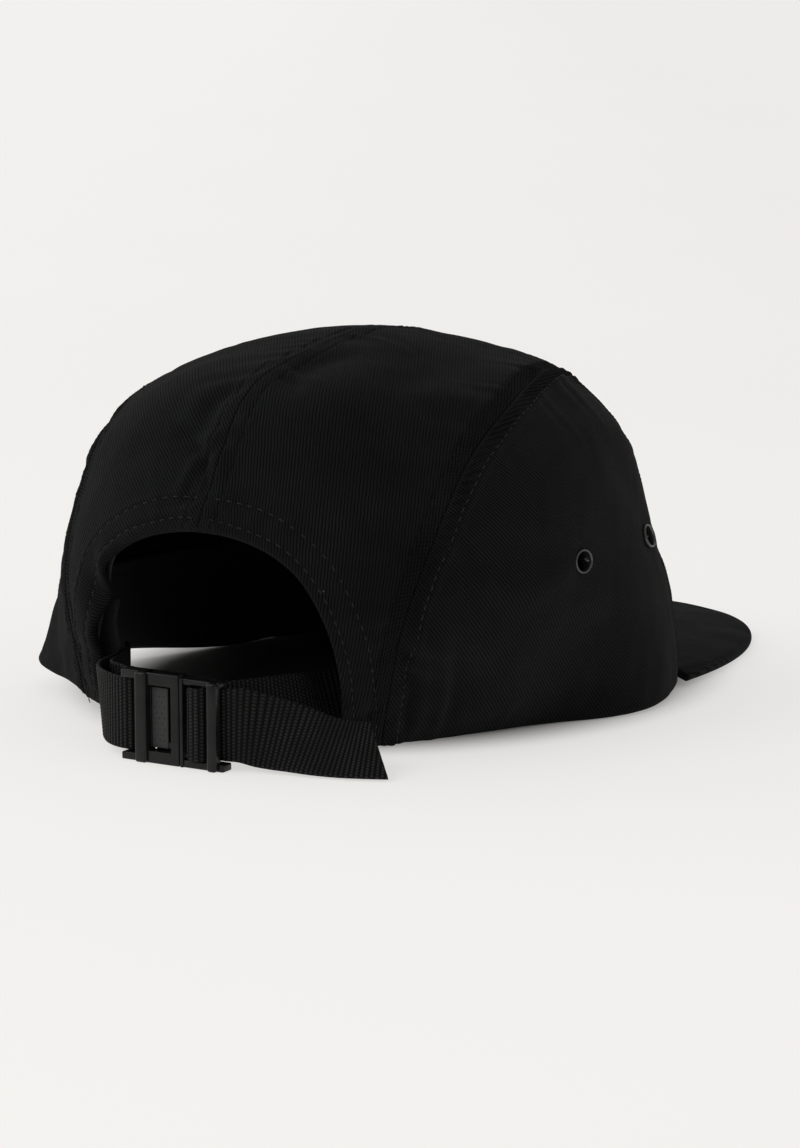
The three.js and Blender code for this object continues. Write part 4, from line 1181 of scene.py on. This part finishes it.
def dimples():
    """The little hollows of the press plate: rows of three with rows of two between."""
    made = []
    for row in range(DIMPLE_ROWS):
        count = 2 if row % 2 else 3
        for i in range(count):
            x = DIMPLE_X + (i - (count - 1) / 2) * DIMPLE_GAP
            z = DIMPLE_Z + (row - (DIMPLE_ROWS - 1) / 2) * DIMPLE_PITCH
            place = (np.array([x, PLATE_FACE + 0.2, z]) - MIDDLE) * MM
            made.append(added(bpy.ops.mesh.primitive_uv_sphere_add, segments=12, ring_count=8,
                              radius=DIMPLE_RADIUS * MM, location=place))
    for obj in made:
        obj.select_set(True)
    bpy.context.view_layer.objects.active = made[0]
    bpy.ops.object.join()
    bpy.ops.object.transform_apply(location=True, rotation=True, scale=True)
    return made[0]


def crisp(obj, degrees=35):
    bpy.ops.object.select_all(action="DESELECT")
    obj.select_set(True)
    bpy.context.view_layer.objects.active = obj
    bpy.ops.object.shade_smooth_by_angle(angle=math.radians(degrees))


socket = moulded("moulded_socket", SOCKET, SOCKET_CUTS)
tongue = combine(moulded("moulded_tongue", TONGUE), [dimples()], "DIFFERENCE")
for obj, node in ((socket, "buckle_socket"), (tongue, "buckle_tongue")):
    finish_piece(obj, PLASTIC, (node,))
    crisp(obj)

# The ring in section: radius and height.
EYELET_PROFILE = [
    (2.6, -2.5), (2.6, -0.9), (2.64, -0.2), (2.74, 0.45), (2.9, 0.92), (3.1, 1.1), (3.3, 0.98),
    (3.45, 0.65), (3.5, 0.3), (3.48, -0.1), (3.3, -0.2), (2.9, -0.2), (2.86, -2.1), (3.55, -2.1),
    (3.6, -2.35), (3.5, -2.5),
]

# The rings sit turned a little towards the back.
EYELET_TURN = np.array([0.0, 0.2, 0.05])
EYELET_SUNK = 0.3
EYELET_HOLE = 2.8


def eyelet_frame(hand, p, q):
    flat = np.array([[hand * p, q]])
    normal = facing(skin, flat)[0]
    normal = unit(normal + EYELET_TURN)
    across = unit(np.cross((0.0, 0.0, 1.0), normal))
    middle = skin(flat)[0] - normal * EYELET_SUNK
    return placed(across, np.cross(normal, across), normal, (middle - MIDDLE) * MM)


def eyelet_piece(name, place):
    obj = added(bpy.ops.mesh.primitive_circle_add, name, vertices=len(EYELET_PROFILE), radius=MM)
    flat = np.array([(r, 0, z) for r, z in EYELET_PROFILE]) * MM
    obj.data.vertices.foreach_set("co", flat.astype(np.float32).ravel())
    edit(lambda: bpy.ops.mesh.spin(steps=48, angle=2 * math.pi, center=(0, 0, 0), axis=(0, 0, 1)),
         lambda: bpy.ops.mesh.select_all(action="SELECT"),
         lambda: bpy.ops.mesh.remove_doubles(threshold=1e-6),
         lambda: bpy.ops.mesh.normals_make_consistent(inside=False))
    obj.data.transform(place)
    return obj


def punch(sheet, place):
    cutter = added(bpy.ops.mesh.primitive_cylinder_add, vertices=40, radius=EYELET_HOLE * MM, depth=12 * MM)
    cutter.data.transform(place)
    combine(sheet, [cutter], "DIFFERENCE")


for hand, side_name in ((RIGHT, "right"), (LEFT, "left")):
    for end, p, q in EYELETS:
        place = eyelet_frame(hand, p, q)
        name = "eyelet_" + side_name + "_" + end
        punch(panel_sheets["side_panel_" + side_name][0], place)
        finish_piece(eyelet_piece("ring_" + side_name + "_" + end, place), METAL, (name,))

STITCH_PITCH = 3.0
STITCH_LONG = 2.2
STITCH_WIDE = 0.32


def stitch_model():
    """One stitch: a short round thread that dips into the cloth at both ends."""
    obj = added(bpy.ops.mesh.primitive_uv_sphere_add, segments=6, ring_count=6, radius=1)
    co = np.empty(len(obj.data.vertices) * 3, np.float32)
    obj.data.vertices.foreach_get("co", co)
    co = co.reshape(-1, 3)[:, (2, 0, 1)]
    faces = [tuple(f.vertices) for f in obj.data.polygons]
    bpy.data.objects.remove(obj)
    shape = co * (STITCH_LONG / 2, STITCH_WIDE / 2, STITCH_WIDE / 2)
    shape[:, 2] += 0.16 - 0.34 * co[:, 0] ** 2
    return shape, faces


STITCH, STITCH_FACES = stitch_model()


def copies(name, shape, faces, places, x_ways, z_ways):
    """One mesh with a copy of a small shape at each place."""
    z = unit(z_ways)
    x = unit(x_ways - z * (x_ways * z).sum(1)[:, None])
    y = np.cross(z, x)
    points = (places[:, None] + shape[None, :, :1] * x[:, None] + shape[None, :, 1:2] * y[:, None]
              + shape[None, :, 2:] * z[:, None]).reshape(-1, 3)
    every = [tuple(i + k * len(shape) for i in face) for k in range(len(places)) for face in faces]
    mesh = bpy.data.meshes.new(name)
    mesh.from_pydata(((points - MIDDLE) * MM).tolist(), [], every)
    obj = bpy.data.objects.new(name, mesh)
    bpy.context.scene.collection.objects.link(obj)
    return obj


def sewn_row(run, inset, towards, relief, start=1.0, stop=1.0, pitch=STITCH_PITCH):
    """The middle, direction and facing of each stitch of a row beside a seam."""
    total = run.length[-1]
    holes = np.arange(start, total - stop, pitch)
    sway = ripple(int(total * 7 + inset * 13), 25)(holes) * 0.18
    flat = run.beside(holes, np.maximum(inset + sway, 0.05), towards)
    face = cloth_face(relief)(flat)
    normal = facing(dome, flat)
    middle = (face[1:] + face[:-1]) / 2
    return middle, np.diff(face, axis=0), (normal[1:] + normal[:-1]) / 2


def sewing(name, rows, thread=THREAD):
    groups = [sewn_row(*row) for row in rows]
    obj = copies(name, STITCH, STITCH_FACES, *(np.vstack(column) for column in zip(*groups)))
    finish_piece(obj, thread, ())


for hand, side_name in ((RIGHT, "right"), (LEFT, "left")):
    back = panel_sheets["back_panel_" + side_name][1]
    beside = panel_sheets["side_panel_" + side_name][1]
    inward, outward, ahead = (hand * 0.3, 0.3), (hand * 0.7, 0.2), (0, -0.7)
    sewing("stitches_arch_" + side_name, [(ARCH[hand], row, inward, back) for row in ARCH_ROWS])
    sewing("stitches_side_seam_" + side_name, [(SIDES[hand], SIDE_ROW, outward, beside)])
    sewing("stitches_back_of_seam_" + side_name, [(SIDES[hand], BACK_ROW, (0, 0.2), back)], DARK_THREAD)
    sewing("stitches_front_seam_" + side_name, [
        (FRONTS[hand], SIDE_ROW, (hand * 0.9, 0), beside),
        (FRONTS[hand], FRONT_ROW, ahead, front_relief)])
    sewing("stitches_centre_" + side_name, [(CENTRE, CENTRE_ROW, (hand * 0.2, 0.2), back)], DARK_THREAD)
sewing("stitches_top", [(TOP, FRONT_ROW, (0, -0.6), front_relief)])

# The camera, in the photo's own pixels and in mm from the cap's axis.
IMAGE_HEIGHT, FOCUS_PIXELS, SENSOR = 1148, 3760, 36
CAMERA_ASIDE, CAMERA_UP, CAMERA_AWAY = 10.824, 35.399, 1100


def look_from(name):
    data = bpy.data.cameras.new(name)
    camera = bpy.data.objects.new(name, data)
    bpy.context.scene.collection.objects.link(camera)
    right = np.array([-0.85717, -0.51504, 0])
    back = np.array([-0.50641, 0.84281, 0.18224])
    up = np.array([0.09386, -0.15621, 0.98325])
    place = (right * CAMERA_ASIDE + up * CAMERA_UP + back * CAMERA_AWAY - MIDDLE) * MM
    camera.matrix_world = placed(right, up, back, place)
    data.lens = SENSOR * FOCUS_PIXELS / IMAGE_HEIGHT
    data.sensor_width = SENSOR
    bpy.context.scene.camera = camera


look_from("Camera")

floor = added(bpy.ops.mesh.primitive_plane_add, "floor", size=60, location=(0, 0, 0))
FLOOR_GLOW = 0.6
PAPER_TINT = (1, 0.985, 0.965)
pale = Shade("pale_floor")
where = pale.add("TexCoord").outputs["Object"]
# Distance from the crown's middle, 1 at its rim, from one over its half width and half length in metres.
ring = pale.add("VectorMath", operation="MULTIPLY", inputs={0: where, 1: (11.4, 9.6, 0.0)}).outputs[0]
out = pale.add("VectorMath", operation="LENGTH", inputs={0: ring}).outputs["Value"]
floor_colour = pale.mix(pale.noise(where, 3.0), grey(0.44, PAPER_TINT), grey(0.46, PAPER_TINT))
# Painted shade: the floor's colour is 0.12 inside 0.55 of the way to the crown's rim and blends back to the
# paper colour by 0.9.
floor_colour = pale.mix(pale.mapped(out, 0.55, 0.9), grey(0.12, PAPER_TINT), floor_colour)


def floor_share(way, low, high, to_low, to_high):
    along = pale.add("VectorMath", operation="DOT_PRODUCT", inputs={0: where, 1: way}).outputs["Value"]
    return pale.mapped(along, low, high, to_low, to_high)


# Painted light: the floor glows evenly, a little more to the left and front, and its glow fades out from
# just outside the crown's rim to 0.8 of the way in, painting shade near and under the crown.
even = pale.math("ADD", floor_share((0.857, 0.515, 0), -0.3, 0.3, -0.035, 0.035),
                 floor_share((-0.506, 0.843, 0), -0.6, 0.5, 0.97, 1.04))
glow = pale.math("MULTIPLY", pale.mapped(out, 0.8, 1.12, kind="SMOOTHSTEP"),
                 pale.math("MULTIPLY", even, FLOOR_GLOW))
floor.data.materials.append(pale.surface(
    floor_colour, 0.95, Specular_IOR_Level=0.1, Emission_Color=grey(1, PAPER_TINT), Emission_Strength=glow))

world = bpy.data.worlds.new("studio")
world.use_nodes = True
bpy.context.scene.world = world


def studio(tree, low, high, toward):
    """An even room, a little brighter in one direction."""
    link = tree.links.new
    where = tree.nodes.new("ShaderNodeTexCoord").outputs["Generated"]
    facing_ = tree.nodes.new("ShaderNodeVectorMath")
    facing_.operation = "DOT_PRODUCT"
    link(where, facing_.inputs[0])
    facing_.inputs[1].default_value = toward
    ramp = tree.nodes.new("ShaderNodeMapRange")
    ramp.interpolation_type = "SMOOTHSTEP"
    link(facing_.outputs["Value"], ramp.inputs[0])
    for i, value in enumerate((-0.75, 0.85, low, high)):
        ramp.inputs[1 + i].default_value = value
    background = tree.nodes["Background"]
    background.inputs[0].default_value = (1, 0.99, 0.975, 1)
    link(ramp.outputs[0], background.inputs[1])


studio(world.node_tree, 0.4, 0.57, (0.62, -0.74, -0.26))


def broad_sun(name, towards, strength, angle):
    """A large even light from far away, shining from a direction."""
    data = bpy.data.lights.new(name, "SUN")
    data.energy = strength
    data.angle = math.radians(angle)
    light = bpy.data.objects.new(name, data)
    light.rotation_mode = "QUATERNION"
    light.rotation_quaternion = Vector(towards).to_track_quat("Z", "Y")
    bpy.context.scene.collection.objects.link(light)


broad_sun("window", (0.45, 0.6, 0.65), 0.58, 40)
broad_sun("side_window", (0.95, 0.0, 0.3), 0.4, 40)
bpy.context.scene.view_settings.view_transform = "Standard"
